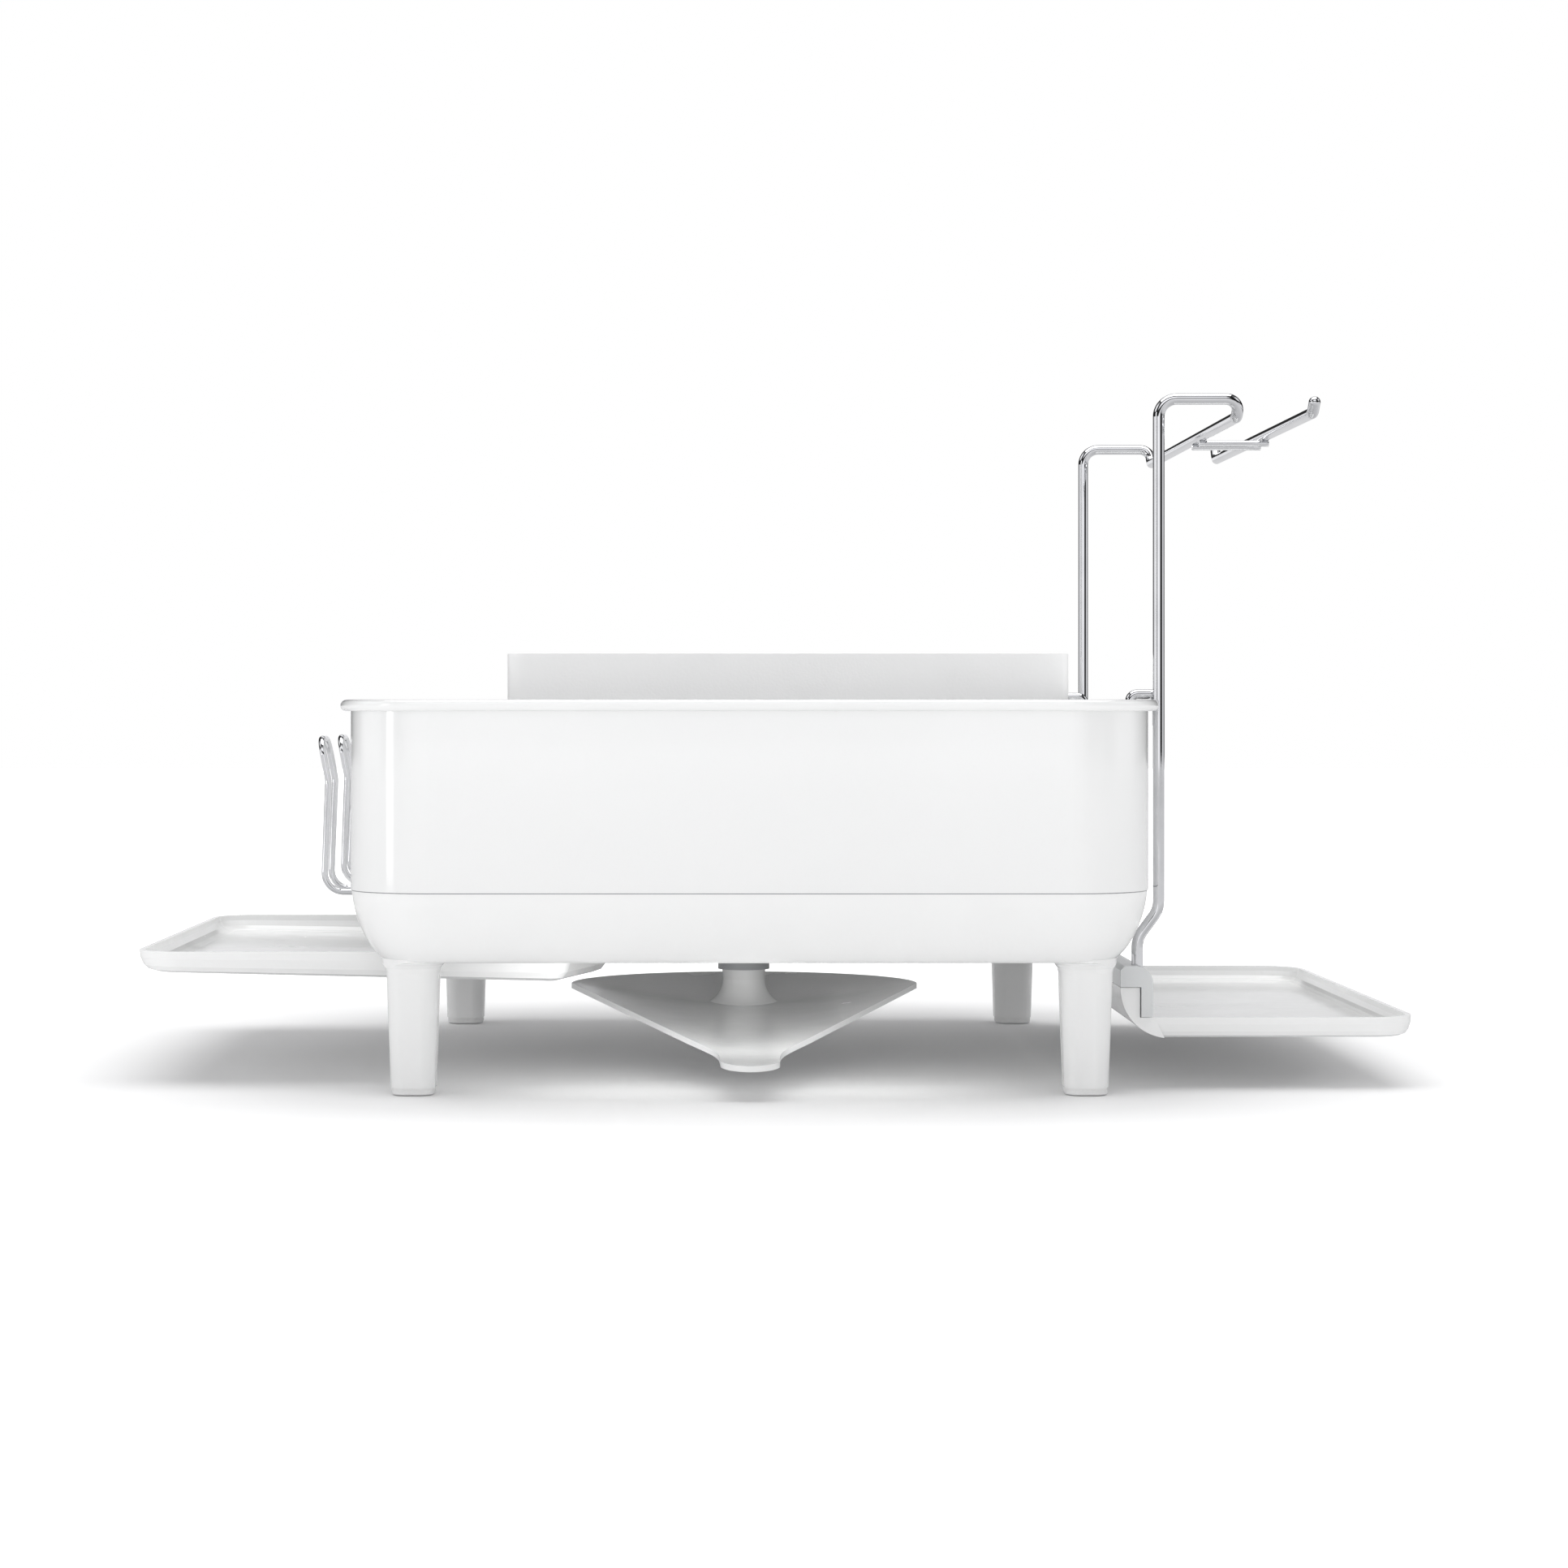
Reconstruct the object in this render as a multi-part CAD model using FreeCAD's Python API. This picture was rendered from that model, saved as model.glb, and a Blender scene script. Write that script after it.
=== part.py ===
import FreeCAD, Part
import math
import os
from FreeCAD import Vector

# Dish drying rack. Millimetres, +Z up, +X right, +Y away from the front.
# The origin is the middle of the body, on the surface that the feet stand on.

# ---- driving dimensions: body ----
body_width = 351.8           # outside of the steel band, left to right
body_depth = 395.0           # outside of the steel band, front to back
corner_radius = 37.0         # outside corner of the band, in plan
leg_height = 58.5            # counter to the underside of the pan
pan_height = 31.3            # underside of the pan to the band's lower edge
band_height = 81.0           # band's lower edge to the middle of the rolled rim
sheet = 0.8                  # steel sheet
rim_radius = 2.5             # rolled rim
pan_inset = 0.4              # band's outside to the pan's
pan_wall = 2.5
pan_belly = 16.4             # how far the pan's side curves in, top to bottom
belly_power = 1.6            # shape of that curve
hollow_depth = 3.5           # hollow under the pan
floor_thickness = 4.0        # at the floor's edge
drain_fall = 1.4             # how much lower the floor is at the drain
skirt_wall = 4.0
lip_height = 6.0             # upstand inside the band
lip_root = 2.0               # how deep the upstand starts in the pan's wall
seat_clearance = 0.15        # between pieces that sit in or on each other
moving_clearance = 0.35      # between pieces that move past each other
running_clearance = 0.06     # between the boss and the post that turns on it
overcut = 1.0                # how far cutting shapes reach past a face

# ---- driving dimensions: legs ----
leg_inset_x = 28.0           # band's outside to the leg's middle
leg_inset_y = 33.0
leg_top_half = 11.8
leg_bottom_half = 9.8
leg_flare = 5.0
leg_corner = 6.5
leg_trim = 3.0               # how far the flare stands out past the pan's floor
pad_height = 3.0
pad_inset = 0.4
pad_edge = 0.9

# ---- driving dimensions: drain and strainer ----
boss_radius = 9.0
boss_wall = 2.5
boss_length = 16.0           # below the ceiling of the hollow
grate_radius = 15.0
grate_thickness = 1.8
grate_land = 3.0             # level floor round the strainer
grate_hole_count = 8
grate_hole_radius = 2.2
grate_hole_circle = 9.8
knob_radius = 4.0
knob_stem_radius = 2.6
knob_height = 5.5

# ---- driving dimensions: swivel spout ----
post_wall = 1.44
post_head = 4.0              # top of the post to the ceiling of the hollow
flange_width = 0.45
flange_height = 2.4
collar_wall = 1.3
collar_lip = 2.0
collar_height = 20.0
spout_sweep_gap = 6.5        # tip to the nearest leg
spout_back = 56.0            # swivel axis to the back of the bowl
spout_half_width = 84.0
spout_corner_y = -14.0       # where the bowl is widest
spout_nose_length = 68.0     # tip to where the straight sides start
spout_neck_half = 28.0
spout_nose_radius = 13.0
spout_wall = 2.6
spout_drop = 26.0            # ceiling of the hollow to the bowl's rim at the back
spout_depth = 10.5           # that rim to the inner floor under the post
spout_neck_fall = 15.0       # that rim to the rim at the neck
spout_tip_fall = 20.5        # that rim to the rim at the tip
flare_radius = 13.0
outlet_half = 4.5
outlet_height = 10.5
outlet_sill = 1.5

# ---- driving dimensions: left slide-out tray ----
left_tray_out = 101.1        # tray's outer end beyond the band
left_tray_length = 213.0
tray_leg_gap = 13.2          # tray's side to the leg's flare
tray_head = 2.0              # tray's rim to the ceiling of the hollow
tray_door_gap = 1.2          # tray's rim to the top of its doorway
left_tray_depth = 9.5        # at the outer end
left_tray_fall = 4.8         # how much lower the draining end is
left_tray_lean = 8.0         # how far the walls lean out, bottom to top
tray_wall = 2.6
tray_floor = 2.2
left_tray_corner = 20.0
tray_shoulder = 18.0         # how far the inner corners are cut back
tray_lobe_length = 27.94     # notch to where the inner corner is cut back
tray_notch_depth = 54.0
tray_notch_room = 8.4        # each side of the spout's collar
lobe_bends = [11.0, 13.0, 12.0, 14.0]
tray_outlet_inset = 4.4      # from the notch
tray_outlet_half = 6.0
tray_outlet_length = 14.0
tray_outlet_head = 4.0
tray_lug_reach = 3.0         # ears on the tray's sides, which ride on the rails
tray_lug_height = 2.4
tray_lug_drop = 0.4
tray_lug_root = 1.2
tray_lug_gap = 1.6           # skirt to the first end of the ears
tray_lug_length = 60.0
rail_thickness = 2.4
rail_ledge_thickness = 1.5
rail_length = 198.0
rail_end_gap = 1.0

# ---- driving dimensions: stemware holder and its tray ----
wire_radius = 2.6
rim_gap = 0.5                # rolled rim to the upright
upright_inset = 19.5         # upright to where the band's corner starts
holder_height = 253.2        # clip's top to the middle of the top wire
rail_drop = 7.7
rail_step = 4.0
rail_reach = 35.7            # upright to the inner rail
rail_spacing = 30.2          # inner rail to the outer rail
rail_front_over = 19.0       # outer rail's front tip past the upright
rail_back_short = 33.0       # and its back end short of the other upright
rail_tip = 4.3               # how far its ends turn up
rail_tip_lean = 4.5
rail_end_lean = 3.0
rail_bend = 3.6
holder_bend = 5.6            # top wire into the drop
holder_bend_low = 4.4        # drop into the inner rail
holder_corner = 8.0
foot_bend = 12.0
foot_bend_low = 8.0          # underside of the pan to the lower bend of the foot
foot_bend_high = 10.3        # upper bend of the foot to the band's lower edge
tie_front_y = -38.0
tie_pitch = 22.0
tie_over = 1.5
clip_inset = 10.5            # band's outside to the clip's inner side
clip_width = 14.4
clip_over = 9.0              # upright to the clip's end
clip_gap = 3.7               # underside of the pan to the clip's top
clip_corner = 7.5
clip_chamfer = 2.0
clip_depth = 9.6             # clip's top to the seam with its tray
tongue_width = 5.3
tongue_length = 13.3         # below that seam
socket_place = 8.6           # clip's inner side to the upright's foot
socket_floor = 1.8
socket_gap = 0.3             # under the foot
rib_depth = 1.8
rib_height = 3.0
rib_drop = 6.7               # seam to the middle of the rib
rib_end = 6.0
groove_end = 3.0
right_tray_reach = 119.2     # beyond the clip
right_tray_short = 2.0       # clip's end to the tray's
right_tray_depth = 9.1
right_tray_lean = 5.0
right_tray_corner = 20.0
right_tray_bend = 7.0
right_tray_under = 4.0       # how far the tray's floor goes in under the clip
flange_foot = 5.5
flange_belly = 6.5
flange_inset = 0.3
rim_hook_share = 0.85        # hook wire, of the upright's
rim_hook_gap = 1.5           # hook's inner leg to the band
rim_hook_leg = 14.0
rim_hook_drop = 8.0
rim_hook_bend = 3.2

# ---- driving dimensions: mug hooks ----
mug_hook_radius = 1.5
mug_hook_half = 14.0
mug_hook_count = 4
mug_hook_row_inset = 26.5    # outermost leg to where the band's corner starts
mug_hook_root = 2.8          # below the band
mug_hook_height = 68.6
mug_hook_neck = 18.6         # hook's top to the bend under it
mug_hook_stand = 15.0        # band to the middle of the wire, low down
mug_hook_neck_lean = 2.0
mug_hook_tip_lean = 1.5
mug_hook_bends = [3.0, 8.5, 14.0, 7.0]
mug_hook_tail = 8.0          # turned up behind the pan's wall
mug_hook_inside = 4.0        # pan's wall to the turned-up tail

# ---- driving dimensions: lift-out wire rack ----
ring_radius = 2.2
rod_radius = 1.5
rack_side_gap = 1.5          # edge of the pan's floor to the middle of the ring
rack_front_over = 0.9        # the same at the front, where the ring is over the curve
rack_corner = 26.0
rack_lift = 10.0             # pan's floor to the middle of the lower ring
rack_height = 64.0
slot_count = 9
slot_end_gap = 23.0          # ring to the first and last floor wire
tine_height = 62.0
tine_half = 14.0
tine_lean = 4.0
tine_bend = 6.0
tine_row_x = 58.0
side_wire_count = 5
end_wire_count = 6
stretcher_inset = 28.0       # ring's corner to the outer stretcher
stretcher_inner_x = 34.0
rack_foot_radius = 5.0
rack_foot_inset = 30.0
rack_foot_cap = 1.2
rack_foot_fit = 0.02
weld = 0.35                  # how deep two welded wires sink into each other

# ---- driving dimensions: utensil caddy and knife block ----
caddy_left_gap = 55.4        # band's outside to the caddy
caddy_right_gap = 7.4
caddy_back_gap = 66.5
caddy_depth = 61.0
rack_caddy_gap = 8.0         # middle of the rack's ring to the caddy
caddy_feet = 12.0
caddy_foot_radius = 4.0
caddy_foot_inset = 16.0
caddy_over = 27.0            # middle of the rim to the caddy's top
caddy_corner = 9.0
caddy_wall = 2.2
caddy_hole_radius = 3.0
caddy_hole_columns = 9
caddy_hole_rows = 2
caddy_hole_inset = 20.0
divider_count = 2
divider_half = 0.9
divider_drop = 12.0
knife_block_width = 84.0
knife_block_drop = 6.8
knife_slot_width = 3.2
knife_slot_count = 5
knife_slot_end = 5.0
knife_slot_floor = 4.0

# ---- sizes that follow from them ----
half_width = body_width / 2
half_depth = body_depth / 2
straight_half = half_depth - corner_radius
band_bottom = leg_height + pan_height
rim_z = band_bottom + band_height
rim_offset = rim_radius - sheet / 2
roof = leg_height + hollow_depth
pan_floor = roof + floor_thickness
drain_floor = pan_floor - drain_fall
lip_side = sheet + seat_clearance
cavity_side = lip_side + pan_wall
pocket_side = pan_belly + skirt_wall

leg_x = half_width - leg_inset_x
leg_y = half_depth - leg_inset_y
leg_places = [(sx * leg_x, sy * leg_y) for sy in (-1, 1) for sx in (-1, 1)]

boss_bottom = roof - boss_length
post_radius = boss_radius + running_clearance + post_wall
post_top = roof - post_head
flange_radius = post_radius + flange_width
collar_radius = flange_radius + moving_clearance + collar_wall
collar_bottom = roof - collar_height
spout_reach = math.hypot(leg_x - leg_top_half, leg_y - leg_top_half) - spout_sweep_gap
spout_neck_y = spout_nose_length - spout_reach
spout_rim = roof - spout_drop
spout_floor = spout_rim - spout_depth
spout_neck_rim = spout_rim - spout_neck_fall
spout_tip_rim = spout_rim - spout_tip_fall

left_tray_left = -half_width - left_tray_out
left_tray_right = left_tray_left + left_tray_length
left_tray_half = leg_y - leg_top_half - leg_flare - tray_leg_gap
left_tray_top = roof - tray_head
tray_notch_half = collar_radius + tray_notch_room
lug_top = left_tray_top - tray_lug_drop

upright_x = half_width + rim_offset + rim_radius + rim_gap + wire_radius
upright_y = straight_half - upright_inset
inner_rail_x = upright_x + rail_reach
outer_rail_x = inner_rail_x + rail_spacing
clip_left = half_width - clip_inset
clip_right = clip_left + clip_width
clip_half = upright_y + clip_over
clip_top = leg_height - clip_gap
holder_top = clip_top + holder_height
rail_z = holder_top - rail_drop
seam_x = clip_right - tongue_width
seam_z = clip_top - clip_depth
tongue_bottom = seam_z - tongue_length
rib_low = seam_z - rib_drop - rib_height / 2
foot_wire_x = clip_left + socket_place
wire_socket_bottom = seam_z + socket_floor
right_tray_right = clip_right + right_tray_reach
right_tray_half = clip_half - right_tray_short
right_tray_top = tongue_bottom - moving_clearance / 2
right_tray_low = right_tray_top - right_tray_depth

mug_hook_z = band_bottom - mug_hook_root
mug_hook_row_half = straight_half - mug_hook_row_inset - mug_hook_half
mug_hook_pitch = 2 * mug_hook_row_half / (mug_hook_count - 1)
hook_centres = [mug_hook_pitch * i - mug_hook_row_half for i in range(mug_hook_count)]

caddy_left = caddy_left_gap - half_width
caddy_right = half_width - caddy_right_gap
caddy_back = half_depth - caddy_back_gap
caddy_front = caddy_back - caddy_depth
caddy_middle = ((caddy_left + caddy_right) / 2, (caddy_front + caddy_back) / 2)
caddy_low = pan_floor + moving_clearance + caddy_feet
caddy_top = rim_z + caddy_over
knife_block_top = caddy_top - knife_block_drop

rack_half_width = half_width - pan_belly - rack_side_gap
rack_front = pan_belly - rack_front_over - half_depth
rack_back = caddy_front - rack_caddy_gap
rack_middle = (rack_front + rack_back) / 2
rack_half_depth = (rack_back - rack_front) / 2
rack_low_z = pan_floor + rack_lift
rack_high_z = rack_low_z + rack_height
floor_rod_z = rack_low_z + ring_radius + rod_radius - weld
stretcher_z = rack_low_z - ring_radius - rod_radius + weld
stretcher_outer_x = rack_half_width - rack_corner - stretcher_inset
stretcher_x = (-stretcher_outer_x, -stretcher_inner_x, stretcher_inner_x, stretcher_outer_x)
slot_pitch = (rack_back - rack_front - 2 * slot_end_gap) / slot_count
slot_rows = [rack_front + slot_end_gap + slot_pitch * i for i in range(slot_count + 1)]


# ---- shared shapes ----
def save(shape, name):
    if shape.ShapeType == "Compound" and len(shape.Solids) == 1:
        shape = shape.Solids[0]
    if not shape.isValid():
        print("not valid:", name)
    shape.exportStep(os.path.join("parts", name + ".step"))


def rounded_rectangle(half_x, half_y, radius, z, centre=(0.0, 0.0)):
    """One closed wire, four lines and four arcs, from the front left corner."""
    cx, cy = centre
    diagonal = radius * (1 - math.sqrt(0.5))
    corners = [(-1, -1), (1, -1), (1, 1), (-1, 1)]
    edges = []
    ends = []
    for sx, sy in corners:
        x, y = cx + sx * half_x, cy + sy * half_y
        along_x = Vector(x - sx * radius, y, z)
        along_y = Vector(x, y - sy * radius, z)
        middle = Vector(x - sx * diagonal, y - sy * diagonal, z)
        start, end = (along_y, along_x) if sx * sy > 0 else (along_x, along_y)
        ends.append((start, middle, end))
    for i, (start, middle, end) in enumerate(ends):
        edges.append(Part.Arc(start, middle, end).toShape())
        edges.append(Part.makeLine(end, ends[(i + 1) % 4][0]))
    return Part.Wire(edges)


def plate(wire, height):
    return Part.Face(wire).extrude(Vector(0, 0, height))


def box(low, high):
    size = [b - a for a, b in zip(low, high)]
    return Part.makeBox(*size, Vector(*low))


def curve_in(t, power):
    """0 at the top of a side and 1 at its bottom, steeper towards the bottom."""
    return 1 - (1 - t ** power) ** (1 / power)


def rounded_path(points, bends):
    """Lines through the points, with a tangent arc at each inner point."""
    points = [Vector(*p) for p in points]
    edges = []
    last = points[0]
    for i in range(1, len(points) - 1):
        here = points[i]
        before = (points[i - 1] - here).normalize()
        after = (points[i + 1] - here).normalize()
        radius = bends[i - 1] if isinstance(bends, (list, tuple)) else bends
        inside = before.getAngle(after)
        back = radius / math.tan(inside / 2)
        start = here + before * back
        end = here + after * back
        middle_way = (before + after).normalize()
        centre = here + middle_way * (radius / math.sin(inside / 2))
        middle = centre - middle_way * radius
        if (start - last).Length > 1e-6:
            edges.append(Part.makeLine(last, start))
        edges.append(Part.Arc(start, middle, end).toShape())
        last = end
    edges.append(Part.makeLine(last, points[-1]))
    return Part.Wire(edges)


def wire_along(path, radius):
    start = path.Edges[0].valueAt(path.Edges[0].FirstParameter)
    heading = path.Edges[0].tangentAt(path.Edges[0].FirstParameter)
    profile = Part.Wire(Part.makeCircle(radius, start, heading))
    return path.makePipeShell([profile], True, False)


def bent_wire(points, radius, bends):
    return wire_along(rounded_path(points, bends), radius)


def rod(start, end, radius):
    start, end = Vector(*start), Vector(*end)
    return Part.makeCylinder(radius, (end - start).Length, start, end - start)


def ring(half_x, half_y, corner, z, radius, centre=(0.0, 0.0)):
    """A closed wire ring."""
    path = rounded_rectangle(half_x, half_y, corner, z, centre)
    first = path.Edges[1]
    start = first.valueAt(first.FirstParameter)
    heading = first.tangentAt(first.FirstParameter)
    profile = Part.Wire(Part.makeCircle(radius, start, heading))
    ordered = Part.Wire(path.Edges[1:] + path.Edges[:1])
    return ordered.makePipeShell([profile], True, False)


def inset_corners(points, distance):
    """The corners of a counter-clockwise polygon, moved in by a distance."""
    moved = []
    count = len(points)
    for i in range(count):
        a, b, c = points[i - 1], points[i], points[(i + 1) % count]
        d1 = Vector(b[0] - a[0], b[1] - a[1], 0).normalize()
        d2 = Vector(c[0] - b[0], c[1] - b[1], 0).normalize()
        n1 = Vector(-d1.y, d1.x, 0)
        n2 = Vector(-d2.y, d2.x, 0)
        shift = (n1 + n2) * (distance / (1 + n1.dot(n2)))
        moved.append((b[0] + shift.x, b[1] + shift.y))
    return moved


def rounded_polygon(points, radii, z_of):
    """A closed outline with rounded corners. z_of gives the height from x."""
    edges = []
    arcs = []
    count = len(points)
    for i in range(count):
        a, b, c = [Vector(*points[j % count], 0) for j in (i - 1, i, i + 1)]
        before = (a - b).normalize()
        after = (c - b).normalize()
        inside = before.getAngle(after)
        back = radii[i] / math.tan(inside / 2)
        middle_way = (before + after).normalize()
        reach = radii[i] / math.sin(inside / 2) - radii[i]
        arcs.append((b + before * back, b + middle_way * reach, b + after * back))
    for i, trio in enumerate(arcs):
        trio = [Vector(p.x, p.y, z_of(p.x)) for p in trio]
        following = arcs[(i + 1) % count][0]
        following = Vector(following.x, following.y, z_of(following.x))
        edges.append(Part.Arc(*trio).toShape())
        edges.append(Part.makeLine(trio[2], following))
    return Part.Wire(edges)


# ---- base pan ----
def pan_shell(inset, low, depth, belly):
    """The pan's rounded tub shape: one side profile carried round four sides and corners."""
    core_x, core_y = half_width - corner_radius, half_depth - corner_radius
    steps = 8
    curve_points = []
    for i in range(steps + 1):
        t = math.sin(math.pi / 2 * i / steps)
        reach = corner_radius - inset - belly * curve_in(t, belly_power)
        curve_points.append(Vector(reach, 0, band_bottom - t * depth))
    curve = Part.BSplineCurve()
    curve.interpolate(curve_points)
    top_in, low_in = Vector(0, 0, band_bottom), Vector(0, 0, low)
    profile = Part.Face(Part.Wire([
        Part.makeLine(top_in, curve_points[0]), curve.toShape(),
        Part.makeLine(curve_points[-1], low_in), Part.makeLine(low_in, top_in),
    ]))
    shell = box((-core_x, -core_y, low), (core_x, core_y, band_bottom))
    for turn, run, across in ((0, core_y, core_x), (90, core_x, core_y),
                              (180, core_y, core_x), (270, core_x, core_y)):
        side = profile.copy()
        side.translate(Vector(across, -run, 0))
        side = side.extrude(Vector(0, 2 * run, 0))
        side.rotate(Vector(0, 0, 0), Vector(0, 0, 1), turn)
        corner = profile.revolve(Vector(0, 0, 0), Vector(0, 0, 1), 90)
        corner.translate(Vector(across, run, 0))
        corner.rotate(Vector(0, 0, 0), Vector(0, 0, 1), turn)
        shell = shell.fuse(side).fuse(corner)
    return shell.removeSplitter()


def make_pan_outer():
    return pan_shell(pan_inset, leg_height, pan_height, pan_belly)


def make_base_pan(pan_outer):
    inner_depth = band_bottom - pan_floor
    inner_belly = pan_belly - pan_wall
    shell = pan_outer.copy()
    lip = plate(
        rounded_rectangle(half_width - lip_side, half_depth - lip_side,
                          corner_radius - lip_side, band_bottom - lip_root),
        lip_height + lip_root,
    )
    shell = shell.fuse(lip)
    above = rounded_rectangle(half_width - cavity_side, half_depth - cavity_side,
                              corner_radius - cavity_side, band_bottom)
    cavity = pan_shell(cavity_side, pan_floor, inner_depth, inner_belly)
    shell = shell.cut(cavity.fuse(plate(above, lip_height * 2)).removeSplitter())
    edge = cavity_side + inner_belly + pan_wall
    land = grate_radius + grate_land
    fall = Part.makeLoft([
        rounded_rectangle(half_width - edge, half_depth - edge, corner_radius - edge + lip_height,
                          pan_floor),
        rounded_rectangle(land, land, grate_radius, drain_floor),
    ], True, True)
    shell = shell.cut(fall)
    under = leg_height - overcut
    pocket = plate(
        rounded_rectangle(half_width - pocket_side, half_depth - pocket_side,
                          corner_radius - pocket_side, under),
        roof - under,
    )
    boss_half = leg_top_half + leg_flare + overcut
    for x, y in leg_places:
        boss = box((x - boss_half, y - boss_half, under), (x + boss_half, y + boss_half, roof))
        pocket = pocket.cut(boss)
    shell = shell.cut(pocket)
    doorway_half = left_tray_half + moving_clearance * 2
    doorway = box((-half_width, -doorway_half, under),
                  (-half_width + pocket_side + overcut, doorway_half, left_tray_top + tray_door_gap))
    shell = shell.cut(doorway)
    boss = Part.makeCylinder(boss_radius, boss_length + overcut / 2, Vector(0, 0, boss_bottom))
    shell = shell.fuse(boss)
    drain = Part.makeCylinder(boss_radius - boss_wall, pan_floor, Vector(0, 0, boss_bottom - overcut))
    shell = shell.cut(drain)
    for y in hook_leg_places():
        gap = mug_hook_radius + seat_clearance
        notch = box((-half_width - overcut, y - gap, mug_hook_z - gap),
                    (-half_width + cavity_side + 2 * overcut, y + gap, band_bottom + lip_height + overcut))
        shell = shell.cut(notch)
    return shell.removeSplitter()


def make_drain_grate():
    low = drain_floor + seat_clearance
    disc = Part.makeCylinder(grate_radius, grate_thickness, Vector(0, 0, low))
    for i in range(grate_hole_count):
        turn = 2 * math.pi * i / grate_hole_count
        place = Vector(grate_hole_circle * math.cos(turn), grate_hole_circle * math.sin(turn), low - overcut)
        disc = disc.cut(Part.makeCylinder(grate_hole_radius, grate_thickness + 2 * overcut, place))
    stem = Part.makeCylinder(knob_stem_radius, knob_height, Vector(0, 0, low))
    knob = Part.makeSphere(knob_radius, Vector(0, 0, low + knob_height))
    return disc.fuse(stem).fuse(knob).removeSplitter()


# ---- steel band and its rolled rim ----
def make_steel_band():
    outer = plate(rounded_rectangle(half_width, half_depth, corner_radius, band_bottom), band_height)
    inner = plate(rounded_rectangle(half_width - sheet, half_depth - sheet, corner_radius - sheet,
                                    band_bottom - overcut), band_height + 2 * overcut)
    return outer.cut(inner)


def make_rolled_rim():
    return ring(half_width + rim_offset, half_depth + rim_offset, corner_radius + rim_offset,
                rim_z, rim_radius)


# ---- legs and their pads ----
def make_leg(x, y, pan_outer):
    levels = [pad_height, leg_height - leg_flare]
    levels += [leg_height - leg_flare * k for k in (0.6, 0.3, 0.1, 0.0)]
    sections = []
    for z in levels:
        rise = (z - pad_height) / (leg_height - pad_height)
        half = leg_bottom_half + (leg_top_half - leg_bottom_half) * rise
        into = max(0.0, z - (leg_height - leg_flare))
        half += leg_flare - math.sqrt(leg_flare ** 2 - into ** 2)
        sections.append(rounded_rectangle(half, half, leg_corner + half - leg_bottom_half, z, (x, y)))
    leg = Part.makeLoft(sections, True, True)
    top_half = leg_top_half + leg_flare
    top = plate(rounded_rectangle(top_half, top_half, leg_corner + top_half - leg_bottom_half,
                                  leg_height, (x, y)), pan_height / 2)
    floor_side = pan_inset + pan_belly - leg_trim
    outline = plate(rounded_rectangle(half_width - floor_side, half_depth - floor_side,
                                      corner_radius - floor_side, 0), band_bottom)
    return leg.fuse(top.cut(pan_outer)).removeSplitter().common(outline)


def make_foot_pad(x, y):
    half = leg_bottom_half - pad_inset
    pad = plate(rounded_rectangle(half, half, leg_corner - pad_inset, 0, (x, y)), pad_height)
    ground = [e for e in pad.Edges if abs(e.BoundBox.ZMax) < 1e-6]
    return pad.makeFillet(pad_edge, ground)


# ---- swivel spout ----
def spout_edge(y):
    """Half the bowl's width at y."""
    if y > spout_corner_y:
        back = spout_back - spout_corner_y
        return spout_half_width * math.sqrt(max(0.0, 1 - ((y - spout_corner_y) / back) ** 2))
    slope = (spout_half_width - spout_neck_half) / (spout_corner_y - spout_neck_y)
    return spout_neck_half + slope * (y - spout_neck_y)


def spout_surface(x, y):
    """Height of the bowl's inner surface."""
    tip_y = -spout_reach
    fall = (spout_floor - spout_tip_rim) / (spout_corner_y - tip_y)
    floor_at_corner = spout_floor
    rise_at_corner = spout_rim - floor_at_corner
    if y > spout_corner_y:
        back = spout_back - spout_corner_y
        reach2 = (x / spout_half_width) ** 2 + ((y - spout_corner_y) / back) ** 2
        return floor_at_corner + rise_at_corner * reach2
    valley = floor_at_corner + fall * (y - spout_corner_y)
    held = max(y, spout_neck_y)
    rim_slope = (spout_rim - spout_neck_rim) / (spout_corner_y - spout_neck_y)
    rim = spout_rim + rim_slope * (held - spout_corner_y)
    valley_there = floor_at_corner + fall * (held - spout_corner_y)
    return valley + (rim - valley_there) * (x / spout_edge(held)) ** 2


def make_spout_outline():
    """The bowl's plan: an elliptical back, straight sides and a rounded nose."""
    nose_y = -spout_reach + spout_nose_radius
    ellipse = Part.Ellipse(Vector(spout_half_width, spout_corner_y, 0),
                           Vector(0, spout_back, 0), Vector(0, spout_corner_y, 0))
    rear_arc = Part.Arc(ellipse, 0, math.pi).toShape()
    slope = (spout_half_width - spout_neck_half) / (spout_corner_y - spout_neck_y)
    sides = []
    for s in (1, -1):
        neck = Vector(s * spout_neck_half, spout_neck_y, 0)
        corner = Vector(s * spout_half_width, spout_corner_y, 0)
        cheek = Vector(s * spout_nose_radius, nose_y, 0)
        side = Part.makeLine(corner, neck)
        curve = Part.BezierCurve()
        pull = (spout_neck_y - nose_y) * 0.5
        curve.setPoles([neck, neck - Vector(s * slope * pull, pull, 0),
                        cheek + Vector(0, pull * 0.8, 0), cheek])
        sides.append((side, curve.toShape()))
    nose = Part.Arc(Vector(spout_nose_radius, nose_y, 0), Vector(0, -spout_reach, 0),
                    Vector(-spout_nose_radius, nose_y, 0)).toShape()
    edges = [rear_arc, sides[1][0], sides[1][1], nose, sides[0][1], sides[0][0]]
    return Part.Wire(Part.__sortEdges__(edges))


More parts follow.
